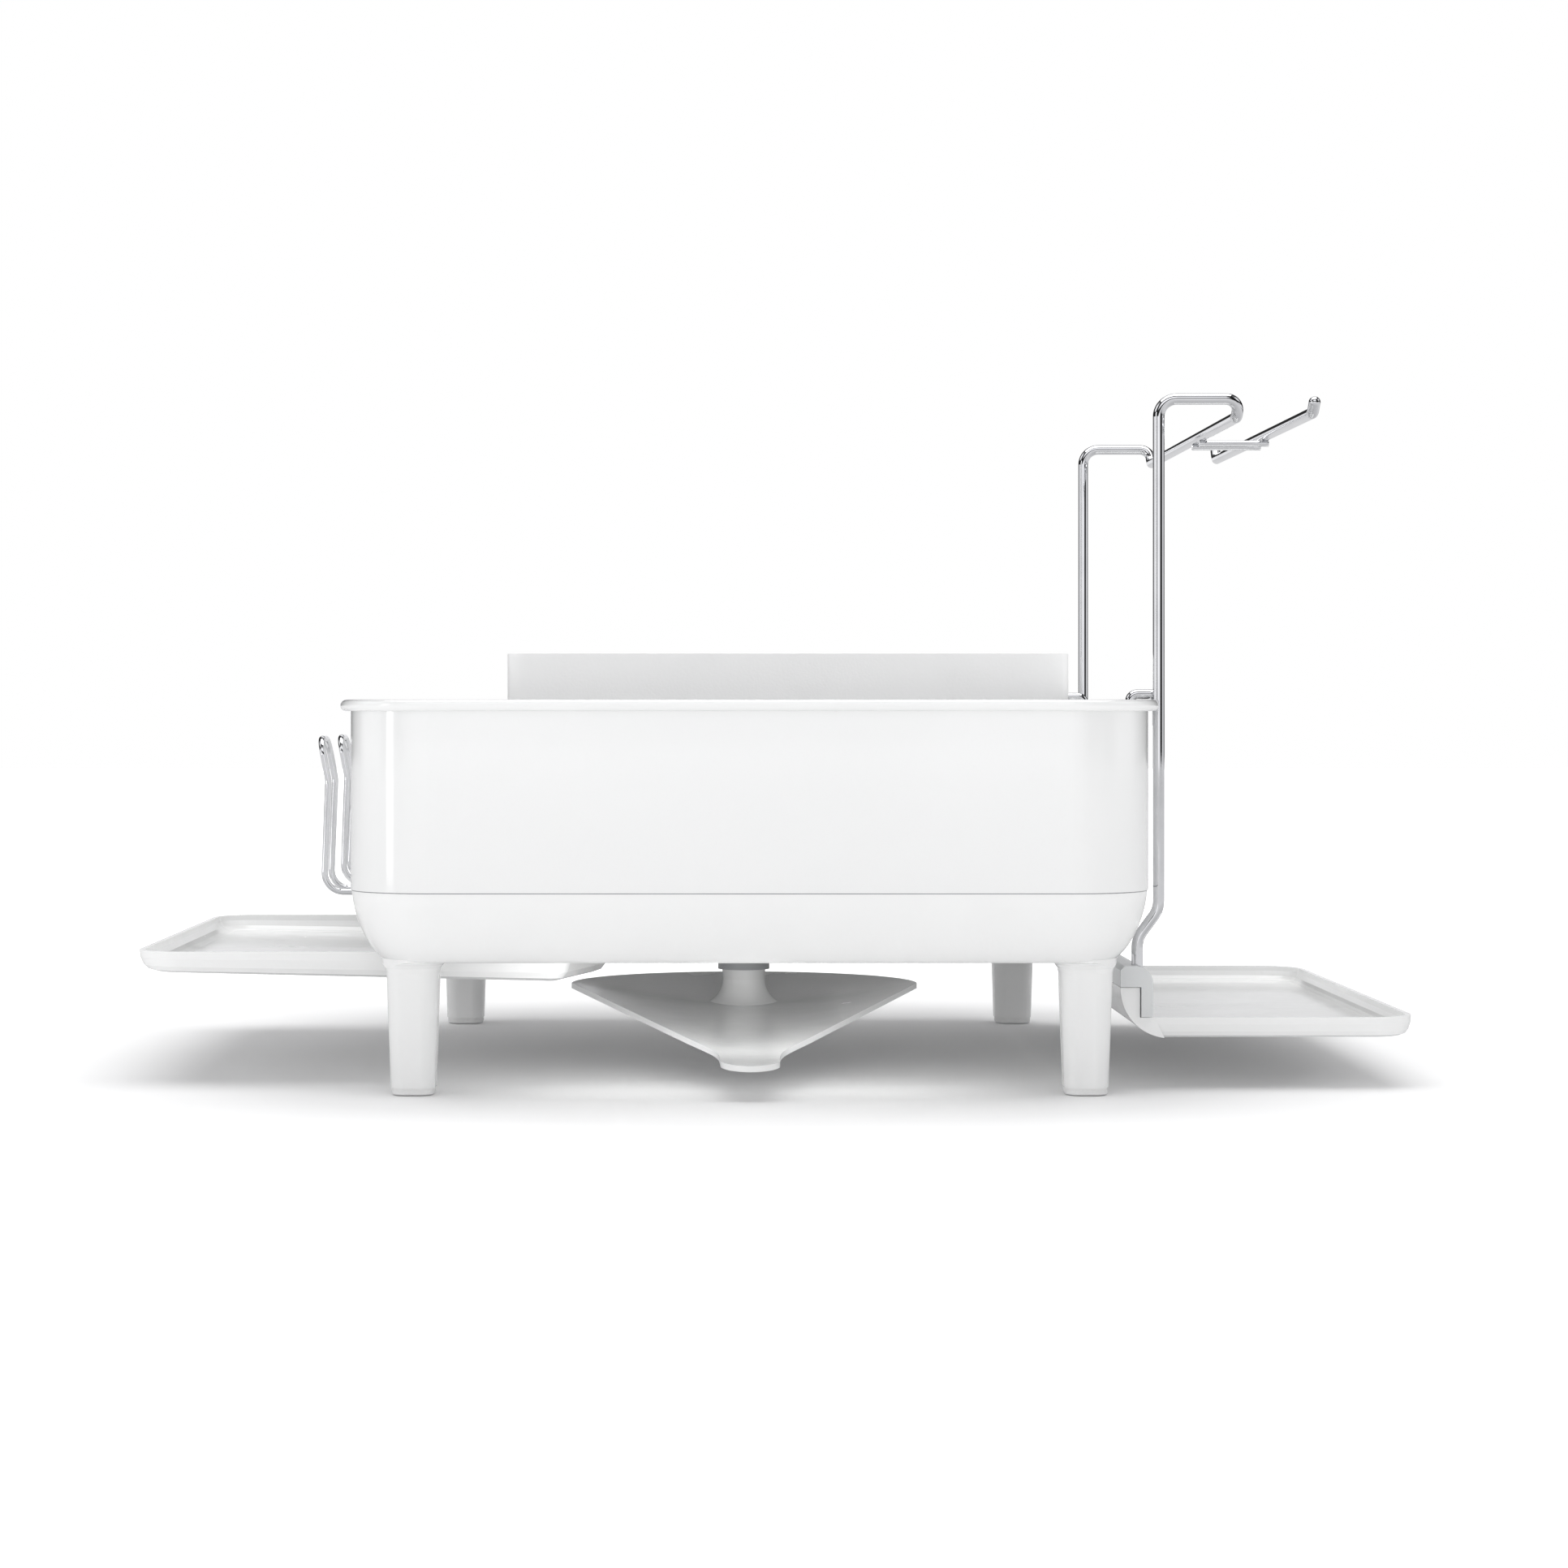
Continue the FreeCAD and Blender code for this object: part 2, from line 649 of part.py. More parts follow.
def make_spout_bowl(post):
    step = 12.0
    count_x = int(2 * (spout_half_width + step) / step) + 1
    count_y = int((spout_back + spout_reach + 2 * step) / step) + 1
    grid = []
    for i in range(count_x):
        x = -(spout_half_width + step) + i * 2 * (spout_half_width + step) / (count_x - 1)
        column = []
        for j in range(count_y):
            y = -(spout_reach + step) + j * (spout_back + spout_reach + 2 * step) / (count_y - 1)
            column.append(Vector(x, y, spout_surface(x, y)))
        grid.append(column)
    surface = Part.BSplineSurface()
    surface.interpolate(grid)
    skin = surface.toShape().extrude(Vector(0, 0, -spout_wall))
    outline = make_spout_outline()
    cutter = Part.Face(outline).extrude(Vector(0, 0, 100))
    bowl = skin.common(cutter)
    return bowl.cut(post).removeSplitter()


def make_spout_post():
    """Hollow post with a flared foot, a flange held by the collar and an outlet at the back."""
    low = spout_floor - spout_wall * 0.7
    foot_z = spout_floor - spout_wall * 0.5
    flare_z = foot_z + flare_radius
    flare_x = post_radius + flare_radius
    inward = flare_radius * math.sqrt(0.5)
    bend = Part.Arc(Vector(flare_x, 0, foot_z), Vector(flare_x - inward, 0, flare_z - inward),
                    Vector(post_radius, 0, flare_z)).toShape()
    flange_low = collar_bottom + collar_lip + moving_clearance
    corners = [
        (post_radius, flare_z), (post_radius, flange_low), (flange_radius, flange_low),
        (flange_radius, flange_low + flange_height), (post_radius, flange_low + flange_height),
        (post_radius, post_top), (0, post_top), (0, low), (flare_x, low), (flare_x, foot_z),
    ]
    points = [Vector(x, 0, z) for x, z in corners]
    edges = [bend] + [Part.makeLine(a, b) for a, b in zip(points, points[1:])]
    profile = Part.Face(Part.Wire(Part.__sortEdges__(edges)))
    return profile.revolve(Vector(0, 0, 0), Vector(0, 0, 1), 360)


def open_spout_post(post):
    inner_floor = spout_floor + outlet_sill
    bore = Part.makeCylinder(boss_radius + running_clearance, post_top, Vector(0, 0, inner_floor))
    window = box((-outlet_half, 0, inner_floor),
                 (outlet_half, post_radius + flare_radius + overcut, inner_floor + outlet_height))
    return post.cut(bore).cut(window).removeSplitter()


def make_spout_collar():
    low = collar_bottom
    outer = Part.makeCylinder(collar_radius, roof - low, Vector(0, 0, low))
    bore = Part.makeCylinder(collar_radius - collar_wall, roof - low, Vector(0, 0, low + collar_lip))
    lip = Part.makeCylinder(post_radius + moving_clearance, collar_lip + 2 * overcut,
                            Vector(0, 0, low - overcut))
    return outer.cut(bore).cut(lip)


# ---- left slide-out tray ----
def left_tray_corners():
    notch_floor = left_tray_right - tray_notch_depth
    lobe = 2 * tray_notch_half + tray_lobe_length
    near = [
        (left_tray_left, -left_tray_half),
        (left_tray_right - tray_shoulder, -left_tray_half),
        (left_tray_right, -lobe),
        (left_tray_right, -tray_notch_half * 2),
        (notch_floor, -tray_notch_half),
    ]
    return near + [(x, -y) for x, y in reversed(near)]


def tray_body(corners, radii, top, low_of, lean, lift, extra):
    """A solid between a flat top outline and a leaning bottom one."""
    sections = []
    for t in (0.0, 0.35, 0.7, 0.9, 1.0):
        side = extra + lean * curve_in(t, 2.2)
        outline = inset_corners(corners, side)
        softened = [max(r - side, 2.5) if r > 8 else r for r in radii]

        def height(x, t=t):
            return top + (low_of(x) + lift - top) * t

        sections.append(rounded_polygon(outline, softened, height))
    return Part.makeLoft(sections, True, True)


def left_tray_low(x):
    return left_tray_top - left_tray_depth - left_tray_fall * (x - left_tray_left) / left_tray_length


def make_left_tray():
    corners = left_tray_corners()
    half_radii = [left_tray_corner] + lobe_bends
    radii = half_radii + half_radii[::-1]
    body = tray_body(corners, radii, left_tray_top, left_tray_low, left_tray_lean, 0.0, 0.0)
    hollow = tray_body(corners, radii, left_tray_top + 0.01, left_tray_low,
                       left_tray_lean, tray_floor, tray_wall)
    tray = body.cut(hollow)
    lug_start = -half_width + pocket_side + tray_lug_gap
    lug_in, lug_out = left_tray_half - tray_lug_root, left_tray_half + tray_lug_reach
    for side in (-1, 1):
        low_y, high_y = sorted((side * lug_in, side * lug_out))
        low_corner = (lug_start, low_y, lug_top - tray_lug_height)
        lug = box(low_corner, (lug_start + tray_lug_length, high_y, lug_top))
        tray = tray.fuse(lug)
    spout_low = left_tray_low(left_tray_right) + tray_floor
    outlet_y = -2 * tray_notch_half - tray_outlet_inset
    outlet = box((left_tray_right - tray_outlet_length, outlet_y - tray_outlet_half, spout_low),
                 (left_tray_right + overcut, outlet_y + tray_outlet_half, left_tray_top - tray_outlet_head))
    return tray.cut(outlet).removeSplitter()


def make_tray_rail(side):
    """An angle that hangs from the pan's roof and carries the tray's ears."""
    gap = moving_clearance
    web_in = left_tray_half + tray_lug_reach + gap
    ledge_in = left_tray_half + gap
    web_out = web_in + rail_thickness
    ledge_top = lug_top - tray_lug_height - gap
    ledge_low = ledge_top - rail_ledge_thickness
    front = -half_width + pocket_side + rail_end_gap
    back = front + rail_length
    low_y, high_y = sorted((side * web_in, side * web_out))
    web = box((front, low_y, ledge_low), (back, high_y, roof))
    low_y, high_y = sorted((side * ledge_in, side * web_out))
    ledge = box((front, low_y, ledge_low), (back, high_y, ledge_top))
    return web.fuse(ledge).removeSplitter()


# ---- mug hooks ----
def hook_leg_places():
    return [c + s * mug_hook_half for c in hook_centres for s in (-1, 1)]


def make_mug_hook(centre):
    low_x = -half_width - mug_hook_stand
    neck_x = low_x + mug_hook_neck_lean
    tip_x = low_x - mug_hook_tip_lean
    inside_x = -half_width + sheet + pan_wall + mug_hook_inside
    top_z = mug_hook_z + mug_hook_height
    side = [
        (inside_x, mug_hook_z + mug_hook_tail), (inside_x, mug_hook_z), (low_x, mug_hook_z),
        (neck_x, top_z - mug_hook_neck), (tip_x, top_z),
    ]
    points = [(x, centre - mug_hook_half, z) for x, z in side]
    points += [(x, centre + mug_hook_half, z) for x, z in reversed(side)]
    return bent_wire(points, mug_hook_radius, mug_hook_bends + mug_hook_bends[::-1])


# ---- stemware holder ----
def make_glass_holder_frame():
    half = [
        (foot_wire_x, -upright_y, wire_socket_bottom + socket_gap),
        (foot_wire_x, -upright_y, leg_height + foot_bend_low),
        (upright_x, -upright_y, band_bottom - foot_bend_high),
        (upright_x, -upright_y, holder_top),
        (inner_rail_x, -upright_y, holder_top),
        (inner_rail_x, rail_step - upright_y, rail_z),
    ]
    points = half + [(x, -y, z) for x, y, z in reversed(half)]
    half_bends = [foot_bend, foot_bend, holder_corner, holder_bend, holder_bend_low]
    return bent_wire(points, wire_radius, half_bends + half_bends[::-1])


def make_outer_rail():
    front, back = -upright_y - rail_front_over, upright_y - rail_back_short
    points = [
        (outer_rail_x, front - rail_tip_lean + rail_end_lean, rail_z + rail_tip),
        (outer_rail_x, front + rail_end_lean, rail_z),
        (outer_rail_x, back, rail_z),
        (outer_rail_x, back + rail_end_lean, rail_z + rail_tip),
    ]
    rail = bent_wire(points, wire_radius, rail_bend)
    for end in (points[0], points[-1]):
        rail = rail.fuse(Part.makeSphere(wire_radius, Vector(*end)))
    return rail.removeSplitter()


def make_rail_ties():
    z = rail_z - wire_radius - rod_radius + weld
    ties = []
    for i in range(2):
        y = tie_front_y + tie_pitch * i
        ties.append(rod((inner_rail_x - tie_over, y, z), (outer_rail_x + tie_over, y, z), rod_radius))
    return Part.makeCompound(ties)


def make_rim_hook(side):
    """A short wire on the upright that hangs over the rim."""
    radius = wire_radius * rim_hook_share
    z = rim_z + rim_radius + moving_clearance + radius
    y = side * (upright_y - wire_radius - radius + weld)
    inside_x = half_width - sheet - rim_hook_gap - radius
    points = [
        (upright_x, y, z - rim_hook_leg), (upright_x, y, z),
        (inside_x, y, z), (inside_x, y, z - rim_hook_drop),
    ]
    return bent_wire(points, radius, rim_hook_bend)


def make_holder_clip():
    mid = clip_corner * (1 - math.sqrt(0.5))
    gap = moving_clearance / 2
    outline = [
        (clip_left, seam_z + gap), (seam_x + gap, seam_z + gap),
        (seam_x + gap, tongue_bottom + gap), (clip_right, tongue_bottom + gap),
        (clip_right, clip_top - clip_corner),
    ]
    points = [Vector(x, -clip_half, z) for x, z in outline]
    edges = [Part.makeLine(a, b) for a, b in zip(points, points[1:])]
    edges.append(Part.Arc(points[-1], Vector(clip_right - mid, -clip_half, clip_top - mid),
                          Vector(clip_right - clip_corner, -clip_half, clip_top)).toShape())
    top_left = Vector(clip_left + clip_chamfer, -clip_half, clip_top)
    shoulder = Vector(clip_left, -clip_half, clip_top - clip_chamfer)
    edges.append(Part.makeLine(Vector(clip_right - clip_corner, -clip_half, clip_top), top_left))
    edges.append(Part.makeLine(top_left, shoulder))
    edges.append(Part.makeLine(shoulder, points[0]))
    clip = Part.Face(Part.Wire(edges)).extrude(Vector(0, 2 * clip_half, 0))
    rib = box((seam_x + gap - rib_depth, rib_end - clip_half, rib_low),
              (seam_x + gap + overcut, clip_half, rib_low + rib_height))
    clip = clip.fuse(rib)
    for s in (-1, 1):
        socket = Part.makeCylinder(wire_radius + seat_clearance, clip_top,
                                   Vector(foot_wire_x, s * upright_y, wire_socket_bottom))
        clip = clip.cut(socket)
    return clip.removeSplitter()


def make_right_tray():
    gap = moving_clearance / 2
    half, top, low = right_tray_half, right_tray_top, right_tray_low

    def low_of(x):
        return low

    def outline_from(x):
        return [(x, -half), (right_tray_right, -half), (right_tray_right, half), (x, half)]

    body = tray_body(outline_from(seam_x - right_tray_under),
                     [right_tray_under, right_tray_corner, right_tray_corner, right_tray_under],
                     top, low_of, right_tray_lean, 0.0, 0.0)
    hollow = tray_body(outline_from(clip_right - tray_floor),
                       [right_tray_bend, right_tray_corner, right_tray_corner, right_tray_bend],
                       top + 0.01, low_of, right_tray_lean, tray_floor, tray_wall)
    near_x = clip_left + flange_inset
    side = [
        (near_x, seam_z - gap), (seam_x - gap, seam_z - gap), (seam_x - gap, top),
        (clip_right + overcut, top), (clip_right + flange_foot, low),
    ]
    points = [Vector(x, -half, z) for x, z in side]
    belly = Vector(clip_left + flange_belly, -half, low + flange_belly)
    under = Part.Arc(points[-1], belly, points[0]).toShape()
    flange_face = Part.Face(Part.Wire([Part.makeLine(a, b) for a, b in zip(points, points[1:])] + [under]))
    flange = flange_face.extrude(Vector(0, 2 * half, 0))
    ground = [points[0], Vector(near_x, -half, 0), Vector(points[-1].x, -half, 0), points[-1]]
    below_face = Part.Face(Part.Wire([Part.makeLine(a, b) for a, b in zip(ground, ground[1:])] + [under]))
    below = below_face.extrude(Vector(0, 2 * half, 0))
    tray = body.cut(hollow).cut(below).fuse(flange)
    groove = box((seam_x - rib_depth - 2 * gap, groove_end - half, rib_low - 2 * gap),
                 (seam_x + overcut, half + overcut, rib_low + rib_height + 2 * gap))
    tongue_room = box((seam_x - gap, -half - overcut, top), (clip_right + overcut, half + overcut, clip_top))
    return tray.cut(groove).cut(tongue_room).removeSplitter()


# ---- lift-out wire rack ----
def make_rack_ring(z):
    return ring(rack_half_width, rack_half_depth, rack_corner, z, ring_radius, (0.0, rack_middle))


def make_floor_rods():
    reach = rack_half_width + ring_radius
    return Part.makeCompound([
        rod((-reach, y, floor_rod_z), (reach, y, floor_rod_z), rod_radius) for y in slot_rows
    ])


def make_stretchers():
    front, back = rack_front - ring_radius, rack_back + ring_radius
    return Part.makeCompound([
        rod((x, front, stretcher_z), (x, back, stretcher_z), rod_radius) for x in stretcher_x
    ])


def make_rack_uprights():
    """Short side wires, outside the two rings."""
    out = ring_radius + rod_radius - weld
    side_x = rack_half_width + out
    spots = []
    for i in range(side_wire_count):
        share = (i + 0.5) / side_wire_count - 0.5
        y = rack_middle + 2 * share * (rack_half_depth - rack_corner)
        spots += [(side_x, y), (-side_x, y)]
    for i in range(end_wire_count):
        share = (i + 0.5) / end_wire_count - 0.5
        x = 2 * share * (rack_half_width - rack_corner)
        spots += [(x, rack_front - out), (x, rack_back + out)]
    low, high = rack_low_z - ring_radius, rack_high_z + ring_radius
    return Part.makeCompound([rod((x, y, low), (x, y, high), rod_radius) for x, y in spots])


def make_plate_tines(side):
    """Upright loops, one on each floor wire, that plates lean between."""
    x = side * tine_row_x
    low = floor_rod_z + weld
    loops = []
    for y in slot_rows:
        points = [
            (x - tine_half, y, low), (x - tine_half + tine_lean, y, low + tine_height),
            (x + tine_half - tine_lean, y, low + tine_height), (x + tine_half, y, low),
        ]
        loops.append(bent_wire(points, rod_radius, tine_bend))
    return Part.makeCompound(loops)


def make_rack_feet():
    """Soft feet pushed up onto the stretchers."""
    low = pan_floor + moving_clearance
    feet = []
    for x in (stretcher_x[0], stretcher_x[-1]):
        for y in (rack_front + rack_foot_inset, rack_back - rack_foot_inset):
            foot_top = stretcher_z + rack_foot_cap
            foot = Part.makeCylinder(rack_foot_radius, foot_top - low, Vector(x, y, low))
            reach = rack_foot_radius + overcut
            start, end = (x, y - reach, stretcher_z), (x, y + reach, stretcher_z)
            trench = rod(start, end, rod_radius + rack_foot_fit)
            feet.append(foot.cut(trench))
    return Part.makeCompound(feet)


# ---- utensil caddy and knife block ----
def make_caddy():
    half_x = (caddy_right - caddy_left) / 2
    half_y = caddy_depth / 2
    low = caddy_low
    outer = plate(rounded_rectangle(half_x, half_y, caddy_corner, low, caddy_middle), caddy_top - low)
    inner = plate(rounded_rectangle(half_x - caddy_wall, half_y - caddy_wall, caddy_corner - caddy_wall,
                                    low + caddy_wall, caddy_middle), caddy_top)
    caddy = outer.cut(inner)
    foot_x, foot_y = half_x - caddy_foot_inset, half_y - caddy_foot_inset
    for sx in (-1, 1):
        for sy in (-1, 1):
            place = Vector(caddy_middle[0] + sx * foot_x, caddy_middle[1] + sy * foot_y, low - caddy_feet)
            caddy = caddy.fuse(Part.makeCylinder(caddy_foot_radius, caddy_feet + caddy_wall / 2, place))
    holes = []
    for i in range(caddy_hole_columns):
        x = caddy_left + caddy_hole_inset + i * 2 * (half_x - caddy_hole_inset) / (caddy_hole_columns - 1)
        for j in range(caddy_hole_rows):
            y = caddy_front + caddy_depth * (j + 0.5) / caddy_hole_rows
            holes.append(Part.makeCylinder(caddy_hole_radius, caddy_wall + 2 * overcut,
                                           Vector(x, y, low - overcut)))
    return caddy.cut(Part.makeCompound(holes)).removeSplitter()


def divider_places():
    block_left = caddy_right - caddy_wall - knife_block_width
    room = block_left - caddy_left - caddy_wall
    return [caddy_left + caddy_wall + room * (i + 1) / (divider_count + 1) for i in range(divider_count)]


def make_divider(x):
    side = caddy_wall + seat_clearance
    return box((x - divider_half, caddy_front + side, caddy_low + caddy_wall),
               (x + divider_half, caddy_back - side, caddy_top - divider_drop))


def make_knife_block():
    side = caddy_wall + moving_clearance
    right = caddy_right - side
    left = right - knife_block_width
    front, back = caddy_front + side, caddy_back - side
    low = caddy_low + side
    centre = ((left + right) / 2, (front + back) / 2)
    block = plate(rounded_rectangle(knife_block_width / 2, (back - front) / 2, caddy_corner - side,
                                    low, centre), knife_block_top - low)
    for i in range(knife_slot_count):
        x = left + (i + 0.5) * knife_block_width / knife_slot_count
        slot = box((x - knife_slot_width / 2, front + knife_slot_end, low + knife_slot_floor),
                   (x + knife_slot_width / 2, back - knife_slot_end, knife_block_top + overcut))
        block = block.cut(slot)
    return block


os.makedirs("parts", exist_ok=True)
pan_outer = make_pan_outer()
save(make_base_pan(pan_outer), "base_pan")
save(make_drain_grate(), "drain_grate")
save(make_steel_band(), "steel_band")
save(make_rolled_rim(), "rolled_rim")
for place, (x, y) in zip(("front_left", "front_right", "back_left", "back_right"), leg_places):
    save(make_leg(x, y, pan_outer), "leg_" + place)
    save(make_foot_pad(x, y), "foot_pad_" + place)
spout_post = make_spout_post()
save(make_spout_bowl(spout_post), "spout_bowl")
save(open_spout_post(spout_post), "spout_post")
save(make_spout_collar(), "spout_collar")
save(make_left_tray(), "left_tray")
save(make_tray_rail(-1), "tray_rail_front")
save(make_tray_rail(1), "tray_rail_back")
for i, centre in enumerate(hook_centres):
    save(make_mug_hook(centre), "mug_hook_%d" % (i + 1))
save(make_glass_holder_frame(), "glass_holder_frame")
save(make_outer_rail(), "glass_outer_rail")
save(make_rail_ties(), "glass_rail_ties")
save(make_rim_hook(-1), "rim_hook_front")
save(make_rim_hook(1), "rim_hook_back")
save(make_holder_clip(), "holder_clip")
save(make_right_tray(), "right_tray")
save(make_rack_ring(rack_low_z), "rack_lower_ring")
save(make_rack_ring(rack_high_z), "rack_upper_ring")
save(make_floor_rods(), "rack_floor_wires")
save(make_stretchers(), "rack_stretchers")
save(make_rack_uprights(), "rack_side_wires")
save(make_plate_tines(-1), "plate_tines_left")
save(make_plate_tines(1), "plate_tines_right")
save(make_rack_feet(), "rack_feet")
save(make_caddy(), "caddy")
for i, x in enumerate(divider_places()):
    save(make_divider(x), "caddy_divider_%d" % (i + 1))
save(make_knife_block(), "knife_block")
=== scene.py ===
import math

import bpy
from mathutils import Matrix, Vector


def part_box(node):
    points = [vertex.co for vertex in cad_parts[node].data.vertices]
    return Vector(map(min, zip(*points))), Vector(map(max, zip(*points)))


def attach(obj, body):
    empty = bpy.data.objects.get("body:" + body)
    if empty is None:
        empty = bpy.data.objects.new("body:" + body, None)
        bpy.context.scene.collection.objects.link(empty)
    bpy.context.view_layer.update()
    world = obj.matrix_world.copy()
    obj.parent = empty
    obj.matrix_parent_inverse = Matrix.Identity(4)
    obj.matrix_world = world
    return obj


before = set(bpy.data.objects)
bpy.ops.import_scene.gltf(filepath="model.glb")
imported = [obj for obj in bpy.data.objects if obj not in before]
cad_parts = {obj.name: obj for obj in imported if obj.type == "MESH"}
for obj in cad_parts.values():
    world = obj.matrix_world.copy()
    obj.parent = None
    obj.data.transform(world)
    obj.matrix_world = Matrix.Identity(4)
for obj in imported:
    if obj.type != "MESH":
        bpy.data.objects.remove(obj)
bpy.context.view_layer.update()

scene = bpy.context.scene
print("frame loaded:", len(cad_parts), "nodes")


# node wiring helpers

def addNode(tree, kind, place, **settings):
    node = tree.nodes.new(kind)
    node.location = place
    for name, value in settings.items():
        if hasattr(node, name):
            setattr(node, name, value)
        else:
            node.inputs[name].default_value = value
    return node


def newGroup(name, inputs, outputs):
    group = bpy.data.node_groups.new(name, "ShaderNodeTree")
    for label, low, high, value in inputs:
        socket = group.interface.new_socket(label, in_out="INPUT", socket_type="NodeSocketFloat")
        socket.default_value = value
        socket.min_value = low
        socket.max_value = high
    for label, kind in outputs:
        group.interface.new_socket(label, in_out="OUTPUT", socket_type=kind)
    entry = addNode(group, "NodeGroupInput", (-900, 0))
    leave = addNode(group, "NodeGroupOutput", (700, 0))
    return group, entry, leave


def mathNode(tree, operation, a, b, place, clamp=False):
    node = addNode(tree, "ShaderNodeMath", place, operation=operation, use_clamp=clamp)
    for index, value in enumerate((a, b)):
        if isinstance(value, (int, float)):
            node.inputs[index].default_value = value
        else:
            tree.links.new(value, node.inputs[index])
    return node.outputs[0]


def rangeNode(tree, value, low, high, toLow, toHigh, place):
    node = addNode(tree, "ShaderNodeMapRange", place)
    tree.links.new(value, node.inputs["Value"])
    for label, number in (("From Min", low), ("From Max", high), ("To Min", toLow), ("To Max", toHigh)):
        if isinstance(number, (int, float)):
            node.inputs[label].default_value = number
        else:
            tree.links.new(number, node.inputs[label])
    return node.outputs["Result"]


# shared surface effects

def makeMouldGrain():
    group, entry, leave = newGroup("mouldGrain", [
        ("Peel Size", 0.0002, 0.02, 0.0016), ("Flow Size", 0.005, 0.5, 0.06), ("Flow Share", 0, 1, 0.35),
    ], [("Height", "NodeSocketFloat"), ("Flow", "NodeSocketFloat"), ("Speck", "NodeSocketFloat")])
    coords = addNode(group, "ShaderNodeTexCoord", (-900, 260))
    peelScale = mathNode(group, "DIVIDE", 1.0, entry.outputs["Peel Size"], (-700, 120))
    flowScale = mathNode(group, "DIVIDE", 1.0, entry.outputs["Flow Size"], (-700, -80))
    peel = addNode(group, "ShaderNodeTexNoise", (-480, 240), Detail=2.0, Roughness=0.45)
    flow = addNode(group, "ShaderNodeTexNoise", (-480, -20), Detail=3.0, Roughness=0.5, Distortion=0.6)
    speck = addNode(group, "ShaderNodeTexNoise", (-480, -260), Detail=1.0, Scale=2600.0)
    for texture in (peel, flow, speck):
        group.links.new(coords.outputs["Object"], texture.inputs["Vector"])
    group.links.new(peelScale, peel.inputs["Scale"])
    group.links.new(flowScale, flow.inputs["Scale"])
    flowPart = mathNode(group, "MULTIPLY", flow.outputs["Fac"], entry.outputs["Flow Share"], (-200, -60))
    height = mathNode(group, "ADD", peel.outputs["Fac"], flowPart, (60, 160))
    group.links.new(height, leave.inputs["Height"])
    group.links.new(rangeNode(group, flow.outputs["Fac"], 0.3, 0.7, 0.0, 1.0, (60, -40)),
                    leave.inputs["Flow"])
    group.links.new(rangeNode(group, speck.outputs["Fac"], 0.62, 0.74, 0.0, 1.0, (60, -260)),
                    leave.inputs["Speck"])
    return group


def makeEdgeRubAndCreaseShade():
    group, entry, leave = newGroup("edgeRubAndCreaseShade", [
        ("Reach", 0.0, 0.2, 0.05), ("Break Up", 0.002, 0.2, 0.02),
    ], [("Edge", "NodeSocketFloat"), ("Crease", "NodeSocketFloat")])
    geometry = addNode(group, "ShaderNodeNewGeometry", (-900, 260))
    coords = addNode(group, "ShaderNodeTexCoord", (-900, -160))
    scale = mathNode(group, "DIVIDE", 1.0, entry.outputs["Break Up"], (-700, -60))
    patches = addNode(group, "ShaderNodeTexNoise", (-480, -120), Detail=4.0)
    group.links.new(coords.outputs["Object"], patches.inputs["Vector"])
    group.links.new(scale, patches.inputs["Scale"])
    edgeTop = mathNode(group, "ADD", entry.outputs["Reach"], 0.5, (-480, 100))
    creaseTop = mathNode(group, "SUBTRACT", 0.5, entry.outputs["Reach"], (-480, -340))
    edge = rangeNode(group, geometry.outputs["Pointiness"], 0.505, edgeTop, 0.0, 1.0, (-200, 240))
    # Crease marks concave spots, which the finishes darken as painted shade in creases
    crease = rangeNode(group, geometry.outputs["Pointiness"], 0.495, creaseTop, 0.0, 1.0, (-200, -260))
    group.links.new(mathNode(group, "MULTIPLY", edge, patches.outputs["Fac"], (120, 140)),
                    leave.inputs["Edge"])
    group.links.new(mathNode(group, "MULTIPLY", crease, patches.outputs["Fac"], (120, -200)),
                    leave.inputs["Crease"])
    return group


def makeWaterMarks():
    group, entry, leave = newGroup("waterMarks", [
        ("Drop Size", 0.002, 0.05, 0.011), ("Amount", 0, 1, 0.4),
    ], [("Ring", "NodeSocketFloat"), ("Film", "NodeSocketFloat")])
    coords = addNode(group, "ShaderNodeTexCoord", (-900, 220))
    scale = mathNode(group, "DIVIDE", 1.0, entry.outputs["Drop Size"], (-700, 60))
    wobble = addNode(group, "ShaderNodeTexNoise", (-700, -160), Scale=160.0, Detail=2.0)
    shift = addNode(group, "ShaderNodeVectorMath", (-480, 60), operation="MULTIPLY_ADD")
    shift.inputs[1].default_value = (0.004, 0.004, 0.004)
    cells = addNode(group, "ShaderNodeTexVoronoi", (-260, 160))
    pick = addNode(group, "ShaderNodeTexNoise", (-260, -160), Scale=21.0, Detail=1.0)
    group.links.new(coords.outputs["Object"], wobble.inputs["Vector"])
    group.links.new(wobble.outputs["Color"], shift.inputs[0])
    group.links.new(coords.outputs["Object"], shift.inputs[2])
    group.links.new(shift.outputs[0], cells.inputs["Vector"])
    group.links.new(scale, cells.inputs["Scale"])
    group.links.new(coords.outputs["Object"], pick.inputs["Vector"])
    outer = rangeNode(group, cells.outputs["Distance"], 0.30, 0.26, 0.0, 1.0, (0, 240))
    inner = rangeNode(group, cells.outputs["Distance"], 0.20, 0.25, 0.0, 1.0, (0, 60))
    patch = rangeNode(group, pick.outputs["Fac"], 0.5, 0.66, 0.0, entry.outputs["Amount"], (0, -160))
    ring = mathNode(group, "MULTIPLY", outer, inner, (220, 180))
    group.links.new(mathNode(group, "MULTIPLY", ring, patch, (440, 120)), leave.inputs["Ring"])
    group.links.new(mathNode(group, "MULTIPLY", outer, patch, (440, -60)), leave.inputs["Film"])
    return group


